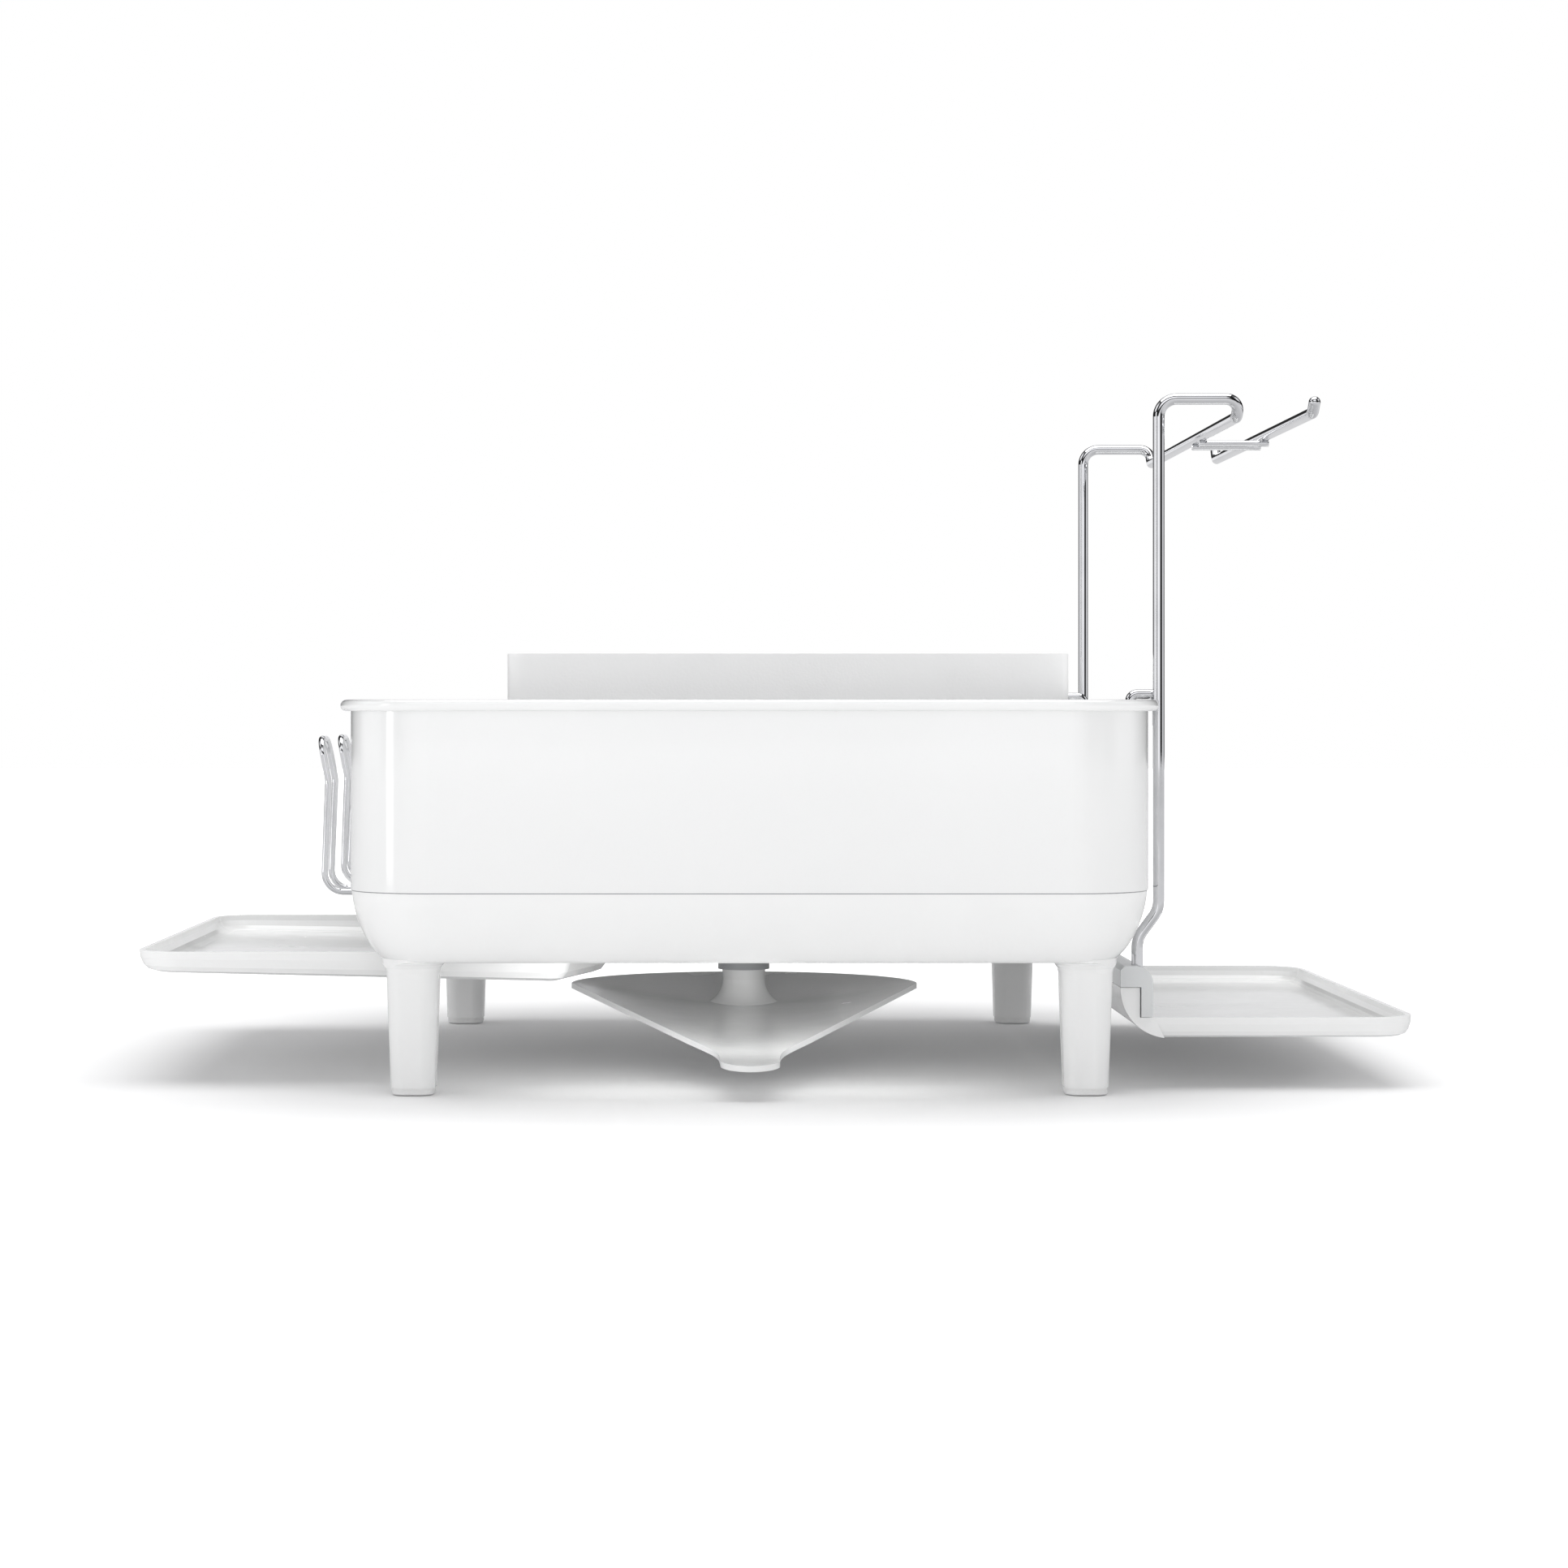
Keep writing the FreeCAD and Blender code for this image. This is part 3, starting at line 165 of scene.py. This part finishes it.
def makeDustFall():
    group, entry, leave = newGroup("dustFall", [
        ("Amount", 0, 1, 0.2), ("Patch Size", 0.002, 0.3, 0.03),
    ], [("Dust", "NodeSocketFloat")])
    geometry = addNode(group, "ShaderNodeNewGeometry", (-900, 200))
    split = addNode(group, "ShaderNodeSeparateXYZ", (-700, 200))
    coords = addNode(group, "ShaderNodeTexCoord", (-900, -140))
    scale = mathNode(group, "DIVIDE", 1.0, entry.outputs["Patch Size"], (-700, -40))
    patches = addNode(group, "ShaderNodeTexNoise", (-480, -80), Detail=5.0, Roughness=0.62)
    group.links.new(geometry.outputs["Normal"], split.inputs[0])
    group.links.new(coords.outputs["Object"], patches.inputs["Vector"])
    group.links.new(scale, patches.inputs["Scale"])
    up = rangeNode(group, split.outputs["Z"], 0.35, 0.95, 0.0, entry.outputs["Amount"], (-200, 200))
    soft = rangeNode(group, patches.outputs["Fac"], 0.4, 0.68, 0.15, 1.0, (-200, -80))
    group.links.new(mathNode(group, "MULTIPLY", up, soft, (120, 60)), leave.inputs["Dust"])
    return group


def makeDrawLines():
    group, entry, leave = newGroup("drawLines", [
        ("Line Size", 0.00005, 0.005, 0.0004), ("Smear", 0.001, 0.2, 0.02),
    ], [("Lines", "NodeSocketFloat"), ("Haze", "NodeSocketFloat")])
    coords = addNode(group, "ShaderNodeTexCoord", (-900, 160))
    lineScale = mathNode(group, "DIVIDE", 1.0, entry.outputs["Line Size"], (-700, 60))
    hazeScale = mathNode(group, "DIVIDE", 1.0, entry.outputs["Smear"], (-700, -160))
    lines = addNode(group, "ShaderNodeTexNoise", (-400, 120), Detail=3.0, Roughness=0.7)
    haze = addNode(group, "ShaderNodeTexNoise", (-400, -140), Detail=4.0, Roughness=0.6)
    for texture, scale in ((lines, lineScale), (haze, hazeScale)):
        group.links.new(coords.outputs["Object"], texture.inputs["Vector"])
        group.links.new(scale, texture.inputs["Scale"])
    group.links.new(lines.outputs["Fac"], leave.inputs["Lines"])
    group.links.new(rangeNode(group, haze.outputs["Fac"], 0.4, 0.7, 0.0, 1.0, (-100, -140)),
                    leave.inputs["Haze"])
    return group


effects = {
    "mouldGrain": makeMouldGrain(),
    "edgeRubAndCreaseShade": makeEdgeRubAndCreaseShade(),
    "waterMarks": makeWaterMarks(),
    "dustFall": makeDustFall(),
    "drawLines": makeDrawLines(),
}


def useEffect(tree, name, place, **values):
    node = addNode(tree, "ShaderNodeGroup", place)
    node.node_tree = effects[name]
    for label, value in values.items():
        node.inputs[label.replace("_", " ")].default_value = value
    return node


def tint(tree, mask, below, above, place, strength=1.0):
    # below where the mask is 0 and above where it is 1
    node = addNode(tree, "ShaderNodeMix", place, data_type="RGBA")
    factor = mask
    if strength != 1.0:
        factor = mathNode(tree, "MULTIPLY", mask, strength, (place[0] - 180, place[1]))
    tree.links.new(factor, node.inputs[0])
    for socket, value in ((node.inputs[6], below), (node.inputs[7], above)):
        if isinstance(value, tuple):
            socket.default_value = (*value, 1.0)
        else:
            tree.links.new(value, socket)
    return node.outputs[2]


print("shared effects built")


# finishes

plasticFinishes = {
    "glossWhite": {
        "colour": (0.815, 0.817, 0.814), "flowColour": (0.795, 0.798, 0.796),
        "rubColour": (0.86, 0.86, 0.86), "speckAndCreaseShadeColour": (0.60, 0.60, 0.58), "dustColour": (0.74, 0.73, 0.70),
        "roughLow": 0.16, "roughHigh": 0.27, "peel": 0.0022, "depth": 0.00001, "dust": 0.03, "drops": 0.07,
        "coat": 0.35, "coatRough": 0.06,
    },
    "satinCaddy": {
        "colour": (0.935, 0.937, 0.935), "flowColour": (0.920, 0.923, 0.922),
        "rubColour": (0.95, 0.95, 0.95), "speckAndCreaseShadeColour": (0.56, 0.56, 0.54), "dustColour": (0.72, 0.71, 0.68),
        "roughLow": 0.30, "roughHigh": 0.44, "peel": 0.0012, "depth": 0.00002, "dust": 0.04, "drops": 0.06,
        "coat": 0.1, "coatRough": 0.25,
    },
    "paleGreyClip": {
        "colour": (0.600, 0.612, 0.618), "flowColour": (0.560, 0.574, 0.582),
        "rubColour": (0.70, 0.71, 0.71), "speckAndCreaseShadeColour": (0.40, 0.40, 0.40), "dustColour": (0.66, 0.65, 0.63),
        "roughLow": 0.22, "roughHigh": 0.34, "peel": 0.0018, "depth": 0.000012, "dust": 0.05, "drops": 0.06,
        "coat": 0.25, "coatRough": 0.1,
    },
    "midGreyFitting": {
        "colour": (0.330, 0.340, 0.350), "flowColour": (0.290, 0.300, 0.312),
        "rubColour": (0.44, 0.45, 0.46), "speckAndCreaseShadeColour": (0.16, 0.16, 0.16), "dustColour": (0.46, 0.45, 0.43),
        "roughLow": 0.30, "roughHigh": 0.45, "peel": 0.0011, "depth": 0.00002, "dust": 0.2, "drops": 0.3,
        "coat": 0.1, "coatRough": 0.2,
    },
    "softRubber": {
        "colour": (0.800, 0.802, 0.800), "flowColour": (0.760, 0.762, 0.762),
        "rubColour": (0.70, 0.70, 0.69), "speckAndCreaseShadeColour": (0.42, 0.42, 0.41), "dustColour": (0.62, 0.61, 0.59),
        "roughLow": 0.58, "roughHigh": 0.76, "peel": 0.0008, "depth": 0.00004, "dust": 0.35, "drops": 0.0,
        "coat": 0.0, "coatRough": 0.3,
    },
}


def makePlastic(name, look):
    # moulded plastic: orange peel, flow marks, rubbed edges, painted shade in creases, dust and dried drops
    material = bpy.data.materials.new(name)
    material.use_nodes = True
    tree = material.node_tree
    shader = tree.nodes["Principled BSDF"]
    grain = useEffect(tree, "mouldGrain", (-1500, 300), Peel_Size=look["peel"])
    rubAndCreaseShade = useEffect(tree, "edgeRubAndCreaseShade", (-1500, 0), Reach=0.06)
    drops = useEffect(tree, "waterMarks", (-1500, -220), Amount=look["drops"])
    dust = useEffect(tree, "dustFall", (-1500, -440), Amount=look["dust"])
    colour = tint(tree, grain.outputs["Flow"], look["colour"], look["flowColour"], (-1100, 300))
    colour = tint(tree, rubAndCreaseShade.outputs["Edge"], colour, look["rubColour"], (-900, 260), 0.6)
    # painted shade: creases darkened towards the shade colour
    colour = tint(tree, rubAndCreaseShade.outputs["Crease"], colour, look["speckAndCreaseShadeColour"], (-700, 220), 0.5)
    colour = tint(tree, drops.outputs["Ring"], colour, look["rubColour"], (-500, 180), 0.4)
    colour = tint(tree, dust.outputs["Dust"], colour, look["dustColour"], (-300, 140))
    tree.links.new(colour, shader.inputs["Base Color"])
    rough = rangeNode(tree, grain.outputs["Flow"], 0.0, 1.0, look["roughLow"], look["roughHigh"],
                      (-900, -60))
    film = mathNode(tree, "MULTIPLY", drops.outputs["Film"], 0.12, (-900, -240))
    haze = mathNode(tree, "MULTIPLY", dust.outputs["Dust"], 0.5, (-900, -420))
    rough = mathNode(tree, "ADD", rough, film, (-600, -120))
    rough = mathNode(tree, "ADD", rough, haze, (-400, -160), clamp=True)
    tree.links.new(rough, shader.inputs["Roughness"])
    bump = addNode(tree, "ShaderNodeBump", (-300, -420), Strength=0.5, Distance=look["depth"] * 10)
    tree.links.new(grain.outputs["Height"], bump.inputs["Height"])
    tree.links.new(bump.outputs["Normal"], shader.inputs["Normal"])
    shader.inputs["IOR"].default_value = 1.5
    shader.inputs["Coat Weight"].default_value = look["coat"]
    shader.inputs["Coat Roughness"].default_value = look["coatRough"]
    return material


steelFinish = {
    "colour": (0.775, 0.777, 0.776), "flowColour": (0.760, 0.763, 0.762),
    "rubColour": (0.84, 0.84, 0.84), "speckAndCreaseShadeColour": (0.62, 0.62, 0.61),
    "roughLow": 0.12, "roughHigh": 0.20, "peel": 0.0034, "flow": 0.11, "flowShare": 0.2,
    "bump": 0.00006, "drops": 0.10, "coat": 1.0, "coatRough": 0.05,
}


def makeEnamel(name, look):
    # stove-enamelled sheet steel: long orange peel, dark specks, dried drops, soft painted shade under the
    # rolled rim
    material = bpy.data.materials.new(name)
    material.use_nodes = True
    tree = material.node_tree
    shader = tree.nodes["Principled BSDF"]
    grain = useEffect(tree, "mouldGrain", (-1400, 300), Peel_Size=look["peel"],
                      Flow_Size=look["flow"], Flow_Share=look["flowShare"])
    rubAndCreaseShade = useEffect(tree, "edgeRubAndCreaseShade", (-1400, 0), Reach=0.08)
    drops = useEffect(tree, "waterMarks", (-1400, -240), Drop_Size=0.014, Amount=look["drops"])
    colour = tint(tree, grain.outputs["Flow"], look["colour"], look["flowColour"], (-1000, 300))
    colour = tint(tree, grain.outputs["Speck"], colour, look["speckAndCreaseShadeColour"], (-800, 260), 0.10)
    # painted shade under the rolled rim and in creases
    colour = tint(tree, rubAndCreaseShade.outputs["Crease"], colour, look["speckAndCreaseShadeColour"], (-600, 220), 0.4)
    colour = tint(tree, drops.outputs["Ring"], colour, look["rubColour"], (-400, 180), 0.35)
    tree.links.new(colour, shader.inputs["Base Color"])
    rough = rangeNode(tree, grain.outputs["Flow"], 0.0, 1.0, look["roughLow"], look["roughHigh"],
                      (-800, -60))
    film = mathNode(tree, "MULTIPLY", drops.outputs["Film"], 0.16, (-800, -240))
    tree.links.new(mathNode(tree, "ADD", rough, film, (-500, -120)), shader.inputs["Roughness"])
    bump = addNode(tree, "ShaderNodeBump", (-300, -400), Strength=0.35, Distance=look["bump"])
    tree.links.new(grain.outputs["Height"], bump.inputs["Height"])
    tree.links.new(bump.outputs["Normal"], shader.inputs["Normal"])
    shader.inputs["Coat Weight"].default_value = look["coat"]
    shader.inputs["Coat Roughness"].default_value = look["coatRough"]
    return material


wireFinishes = {
    "brightChrome": {"colour": (0.78, 0.785, 0.80), "hazeAndCreaseShadeColour": (0.72, 0.725, 0.74), "roughLow": 0.02,
                     "roughHigh": 0.05, "line": 0.0005, "bump": 0.000003, "drops": 0.2},
    "satinRackWire": {"colour": (0.66, 0.66, 0.67), "hazeAndCreaseShadeColour": (0.56, 0.56, 0.57), "roughLow": 0.14,
                      "roughHigh": 0.30, "line": 0.0003, "bump": 0.00004, "drops": 0.6},
}


def makeWireMetal(name, look):
    # plated wire: fine draw lines, hazy stretches and dried drops
    material = bpy.data.materials.new(name)
    material.use_nodes = True
    tree = material.node_tree
    shader = tree.nodes["Principled BSDF"]
    lines = useEffect(tree, "drawLines", (-1300, 240), Line_Size=look["line"])
    drops = useEffect(tree, "waterMarks", (-1300, -40), Drop_Size=0.006, Amount=look["drops"])
    rubAndCreaseShade = useEffect(tree, "edgeRubAndCreaseShade", (-1300, -300), Reach=0.05)
    colour = tint(tree, lines.outputs["Haze"], look["colour"], look["hazeAndCreaseShadeColour"], (-900, 240))
    # painted shade: creases darkened towards the haze colour
    colour = tint(tree, rubAndCreaseShade.outputs["Crease"], colour, look["hazeAndCreaseShadeColour"], (-700, 200), 0.8)
    tree.links.new(colour, shader.inputs["Base Color"])
    rough = rangeNode(tree, lines.outputs["Haze"], 0.0, 1.0, look["roughLow"], look["roughHigh"],
                      (-800, -40))
    film = mathNode(tree, "MULTIPLY", drops.outputs["Film"], 0.06, (-800, -240))
    tree.links.new(mathNode(tree, "ADD", rough, film, (-500, -80)), shader.inputs["Roughness"])
    bump = addNode(tree, "ShaderNodeBump", (-300, -320), Strength=0.3, Distance=look["bump"])
    tree.links.new(lines.outputs["Lines"], bump.inputs["Height"])
    tree.links.new(bump.outputs["Normal"], shader.inputs["Normal"])
    shader.inputs["Metallic"].default_value = 1.0
    return material


finishes = {name: makePlastic(name, look) for name, look in plasticFinishes.items()}
finishes["enamelWhite"] = makeEnamel("enamelWhite", steelFinish)
for name, look in wireFinishes.items():
    finishes[name] = makeWireMetal(name, look)
print("finishes built:", len(finishes))

finishOfNode = {
    "base_pan": "glossWhite", "steel_band": "enamelWhite", "rolled_rim": "enamelWhite",
    "drain_grate": "midGreyFitting", "spout_collar": "midGreyFitting", "spout_bowl": "glossWhite",
    "spout_post": "glossWhite",
    "left_tray": "glossWhite", "right_tray": "glossWhite", "tray_rail": "glossWhite", "leg_": "glossWhite",
    "foot_pad": "softRubber", "rack_feet": "softRubber", "mug_hook": "brightChrome",
    "glass_": "brightChrome", "rim_hook": "brightChrome", "holder_clip": "paleGreyClip",
    "rack_": "satinRackWire", "plate_tines": "satinRackWire",
    "caddy": "satinCaddy", "knife_block": "satinCaddy",
}


def dressNode(name, piece):
    found = [start for start in finishOfNode if name.startswith(start)]
    finish = finishes[finishOfNode[max(found, key=len)]]
    if piece.material_slots:
        for materialSlot in piece.material_slots:
            materialSlot.link = "OBJECT"
            materialSlot.material = finish
    else:
        piece.data.materials.append(finish)


for nodeName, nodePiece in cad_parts.items():
    dressNode(nodeName, nodePiece)
print("CAD nodes dressed")


# dark strip painted as the shadow line between the band and the pan

seamShadowStrip = {"thickness": 0.0009, "tuck": 0.0007, "cornerRadius": 0.0363, "steps": 14, "sides": 8,
            "sink": 0.2}


def roundedRing(halfX, halfY, radius, steps):
    points = []
    for turn, signX, signY in ((0, 1, 1), (90, -1, 1), (180, -1, -1), (270, 1, -1)):
        for index in range(steps + 1):
            angle = math.radians(turn + 90 * index / steps)
            points.append((signX * (halfX - radius) + radius * math.cos(angle),
                           signY * (halfY - radius) + radius * math.sin(angle)))
    return points


# a thin dark grey ring laid along the seam, standing in for the shadow line there
def makeSeamShadowStrip():
    low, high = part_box("steel_band")
    tuck, half, sides = seamShadowStrip["tuck"], seamShadowStrip["thickness"] / 2, seamShadowStrip["sides"]
    route = roundedRing(high.x - tuck, high.y - tuck, seamShadowStrip["cornerRadius"], seamShadowStrip["steps"])
    turns = [math.radians(360 / sides * step) for step in range(sides)]
    section = [(half * math.cos(turn), half * math.sin(turn)) for turn in turns]
    verts, faces = [], []
    for index, (x, y) in enumerate(route):
        before, after = route[index - 1], route[(index + 1) % len(route)]
        along = Vector((after[0] - before[0], after[1] - before[1])).normalized()
        for side, rise in section:
            verts.append((x + along.y * side, y - along.x * side, low.z - half * seamShadowStrip["sink"] + rise))
    for index in range(len(route)):
        following = (index + 1) % len(route)
        for step in range(sides):
            nextStep = (step + 1) % sides
            faces.append((index * sides + step, index * sides + nextStep,
                          following * sides + nextStep, following * sides + step))
    mesh = bpy.data.meshes.new("seamShadowStrip")
    mesh.from_pydata(verts, [], faces)
    mesh.polygons.foreach_set("use_smooth", [True] * len(mesh.polygons))
    mesh.materials.append(finishes["midGreyFitting"])
    shadowStrip = bpy.data.objects.new("seamShadowStrip", mesh)
    scene.collection.objects.link(shadowStrip)
    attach(shadowStrip, "base")


makeSeamShadowStrip()
print("seal made")


# stage, light and camera

stageLook = {
    "floorSize": 16.0, "floorDrop": 0.0004, "floorColour": (0.82, 0.82, 0.82), "peel": 0.004,
    "roughLow": 0.62, "roughHigh": 0.72, "specular": 0.2, "glowStart": 0.27, "glowEnd": 0.95,
    "nearGlow": (0.035, 0.035, 0.036), "farGlow": (1.0, 1.0, 1.0),
    "mirrorTone": (0.42, 0.42, 0.43), "mirrorShare": 0.75,
}
roomLook = {
    "fill": (0.62, 0.62, 0.625), "backdrop": (1.0, 1.0, 1.0), "cardBlue": 1.02,
    "cards": [(0.0, 0.9), (0.03, 0.9), (0.06, 0.02), (0.13, 0.02), (0.155, 0.9), (0.20, 1.1), (0.27, 1.1),
              (0.30, 0.7), (0.33, 0.02), (0.42, 0.03), (0.45, 0.8), (0.52, 0.8), (0.56, 0.25), (0.60, 0.02),
              (0.68, 0.03), (0.71, 0.9), (0.78, 0.9), (0.81, 0.03), (0.91, 0.04), (0.95, 0.9), (1.0, 0.9)],
    "levels": [(0.0, 0.9), (0.5, 1.0), (0.555, 1.0), (0.57, 0.03), (0.65, 0.03), (0.69, 1.0), (0.80, 1.3),
               (0.88, 0.2), (0.95, 0.2), (1.0, 0.9)],
}


def makeFloorPaper():
    # grey paper by the object that glows white farther off, toned down where gloss mirrors it
    material = bpy.data.materials.new("floorPaper")
    material.use_nodes = True
    tree = material.node_tree
    shader = tree.nodes["Principled BSDF"]
    grain = useEffect(tree, "mouldGrain", (-700, 0), Peel_Size=stageLook["peel"])
    rough = rangeNode(tree, grain.outputs["Flow"], 0.0, 1.0, stageLook["roughLow"], stageLook["roughHigh"],
                      (-400, 0))
    tree.links.new(rough, shader.inputs["Roughness"])
    shader.inputs["Base Color"].default_value = (*stageLook["floorColour"], 1.0)
    shader.inputs["Specular IOR Level"].default_value = stageLook["specular"]
    coords = addNode(tree, "ShaderNodeTexCoord", (-1100, -300))
    reach = addNode(tree, "ShaderNodeVectorMath", (-900, -300), operation="LENGTH")
    tree.links.new(coords.outputs["Object"], reach.inputs[0])
    glow = rangeNode(tree, reach.outputs["Value"], stageLook["glowStart"], stageLook["glowEnd"], 0.0, 1.0,
                     (-700, -300))
    tree.links.new(tint(tree, glow, stageLook["nearGlow"], stageLook["farGlow"], (-450, -300)),
                   shader.inputs["Emission Color"])
    shader.inputs["Emission Strength"].default_value = 1.0
    mirror = addNode(tree, "ShaderNodeEmission", (300, -260))
    mirror.inputs["Color"].default_value = (*stageLook["mirrorTone"], 1.0)
    rays = addNode(tree, "ShaderNodeLightPath", (100, 300))
    share = mathNode(tree, "MULTIPLY", rays.outputs["Is Glossy Ray"], stageLook["mirrorShare"], (320, 300))
    pick = addNode(tree, "ShaderNodeMixShader", (560, 60))
    tree.links.new(share, pick.inputs[0])
    tree.links.new(shader.outputs[0], pick.inputs[1])
    tree.links.new(mirror.outputs[0], pick.inputs[2])
    tree.links.new(pick.outputs[0], tree.nodes["Material Output"].inputs["Surface"])
    return material


def makeFloor():
    size, level = stageLook["floorSize"] / 2, -stageLook["floorDrop"]
    mesh = bpy.data.meshes.new("floorSweep")
    mesh.from_pydata([(-size, -size, level), (size, -size, level), (size, size, level),
                      (-size, size, level)], [], [(0, 1, 2, 3)])
    mesh.materials.append(makeFloorPaper())
    floor = bpy.data.objects.new("floorSweep", mesh)
    scene.collection.objects.link(floor)


# sizes in metres and power in watts; seen says whether gloss mirrors the lamp
lamps = {
    "topBox": {"place": (0.0, -0.05, 2.0), "aim": (0.0, 0.0, 0.1), "size": (2.2, 1.6), "power": 29,
               "seen": True},
    "sideBox": {"place": (-1.7, -1.1, 0.45), "aim": (0.0, 0.0, 0.12), "size": (0.35, 1.0), "power": 3,
                "seen": True},
    "frontFill": {"place": (0.0, -2.7, 0.30), "aim": (0.0, 0.0, 0.12), "size": (2.2, 0.5), "power": 9,
                  "seen": False},
    "underGlow": {"place": (0.0, -0.180, 0.057), "aim": (0.0, -0.03, 0.035), "size": (0.20, 0.012),
                  "power": 0.10, "seen": False},
}


def makeLamp(name, look):
    data = bpy.data.lights.new(name, "AREA")
    data.shape = "RECTANGLE"
    data.size, data.size_y = look["size"]
    data.energy = look["power"]
    lamp = bpy.data.objects.new(name, data)
    scene.collection.objects.link(lamp)
    lamp.location = look["place"]
    toAim = Vector(look["aim"]) - Vector(look["place"])
    lamp.rotation_euler = toAim.to_track_quat("-Z", "Y").to_euler()
    lamp.visible_glossy = look["seen"]
    lamp.visible_camera = False


def addTones(tree, stops, blue, place):
    # grey ramp through the stops, each a position and a brightness
    node = addNode(tree, "ShaderNodeValToRGB", place)
    ramp = node.color_ramp
    for position, tone in stops:
        stop = ramp.elements.new(position)
        stop.color = (tone, tone, tone * blue, 1.0)
    ramp.elements.remove(ramp.elements[0])
    ramp.elements.remove(ramp.elements[-1])
    return node


def makeWorld():
    # even white for the set, and dark cards between soft boxes where gloss and chrome look
    world = bpy.data.worlds.new("softRoom")
    world.use_nodes = True
    tree = world.node_tree
    back = tree.nodes["Background"]
    coords = addNode(tree, "ShaderNodeTexCoord", (-1300, 0))
    around = addNode(tree, "ShaderNodeTexGradient", (-1100, 100), gradient_type="RADIAL")
    tree.links.new(coords.outputs["Generated"], around.inputs["Vector"])
    cards = addTones(tree, roomLook["cards"], roomLook["cardBlue"], (-880, 140))
    tree.links.new(around.outputs["Color"], cards.inputs["Fac"])
    split = addNode(tree, "ShaderNodeSeparateXYZ", (-1100, -160))
    tree.links.new(coords.outputs["Generated"], split.inputs[0])
    height = addTones(tree, roomLook["levels"], 1.0, (-880, -160))
    tree.links.new(rangeNode(tree, split.outputs["Z"], -1.0, 1.0, 0.0, 1.0, (-1000, -300)),
                   height.inputs["Fac"])
    glossRoom = addNode(tree, "ShaderNodeMix", (-560, 20), data_type="RGBA", blend_type="MULTIPLY")
    glossRoom.inputs[0].default_value = 1.0
    tree.links.new(cards.outputs["Color"], glossRoom.inputs[6])
    tree.links.new(height.outputs["Color"], glossRoom.inputs[7])
    rays = addNode(tree, "ShaderNodeLightPath", (-560, 360))
    even = tint(tree, rays.outputs["Is Camera Ray"], roomLook["fill"], roomLook["backdrop"], (-340, 260))
    tree.links.new(tint(tree, rays.outputs["Is Glossy Ray"], even, glossRoom.outputs[2], (-160, 120)),
                   back.inputs["Color"])
    back.inputs["Strength"].default_value = 1.0
    scene.world = world


makeFloor()
makeWorld()
for lampName, lampLook in lamps.items():
    makeLamp(lampName, lampLook)

scene.view_settings.view_transform = "Standard"
scene.view_settings.look = "None"
scene.view_settings.exposure = 0.0
scene.view_settings.gamma = 1.0

cameraLook = {
    "place": (-0.0245, -1.5945, 0.168), "pitch": 90, "sensor": 36.0, "lens": 74.534,
    "shiftX": 0.0575, "shiftY": -0.0461, "clipStart": 0.05, "clipEnd": 40.0,
}
cameraData = bpy.data.cameras.new("frontCamera")
cameraData.sensor_width = cameraLook["sensor"]
cameraData.lens = cameraLook["lens"]
cameraData.shift_x = cameraLook["shiftX"]
cameraData.shift_y = cameraLook["shiftY"]
cameraData.clip_start = cameraLook["clipStart"]
cameraData.clip_end = cameraLook["clipEnd"]
camera = bpy.data.objects.new("frontCamera", cameraData)
scene.collection.objects.link(camera)
camera.location = cameraLook["place"]
camera.rotation_euler = (math.radians(cameraLook["pitch"]), 0, 0)
scene.camera = camera
print("stage, light and camera set")
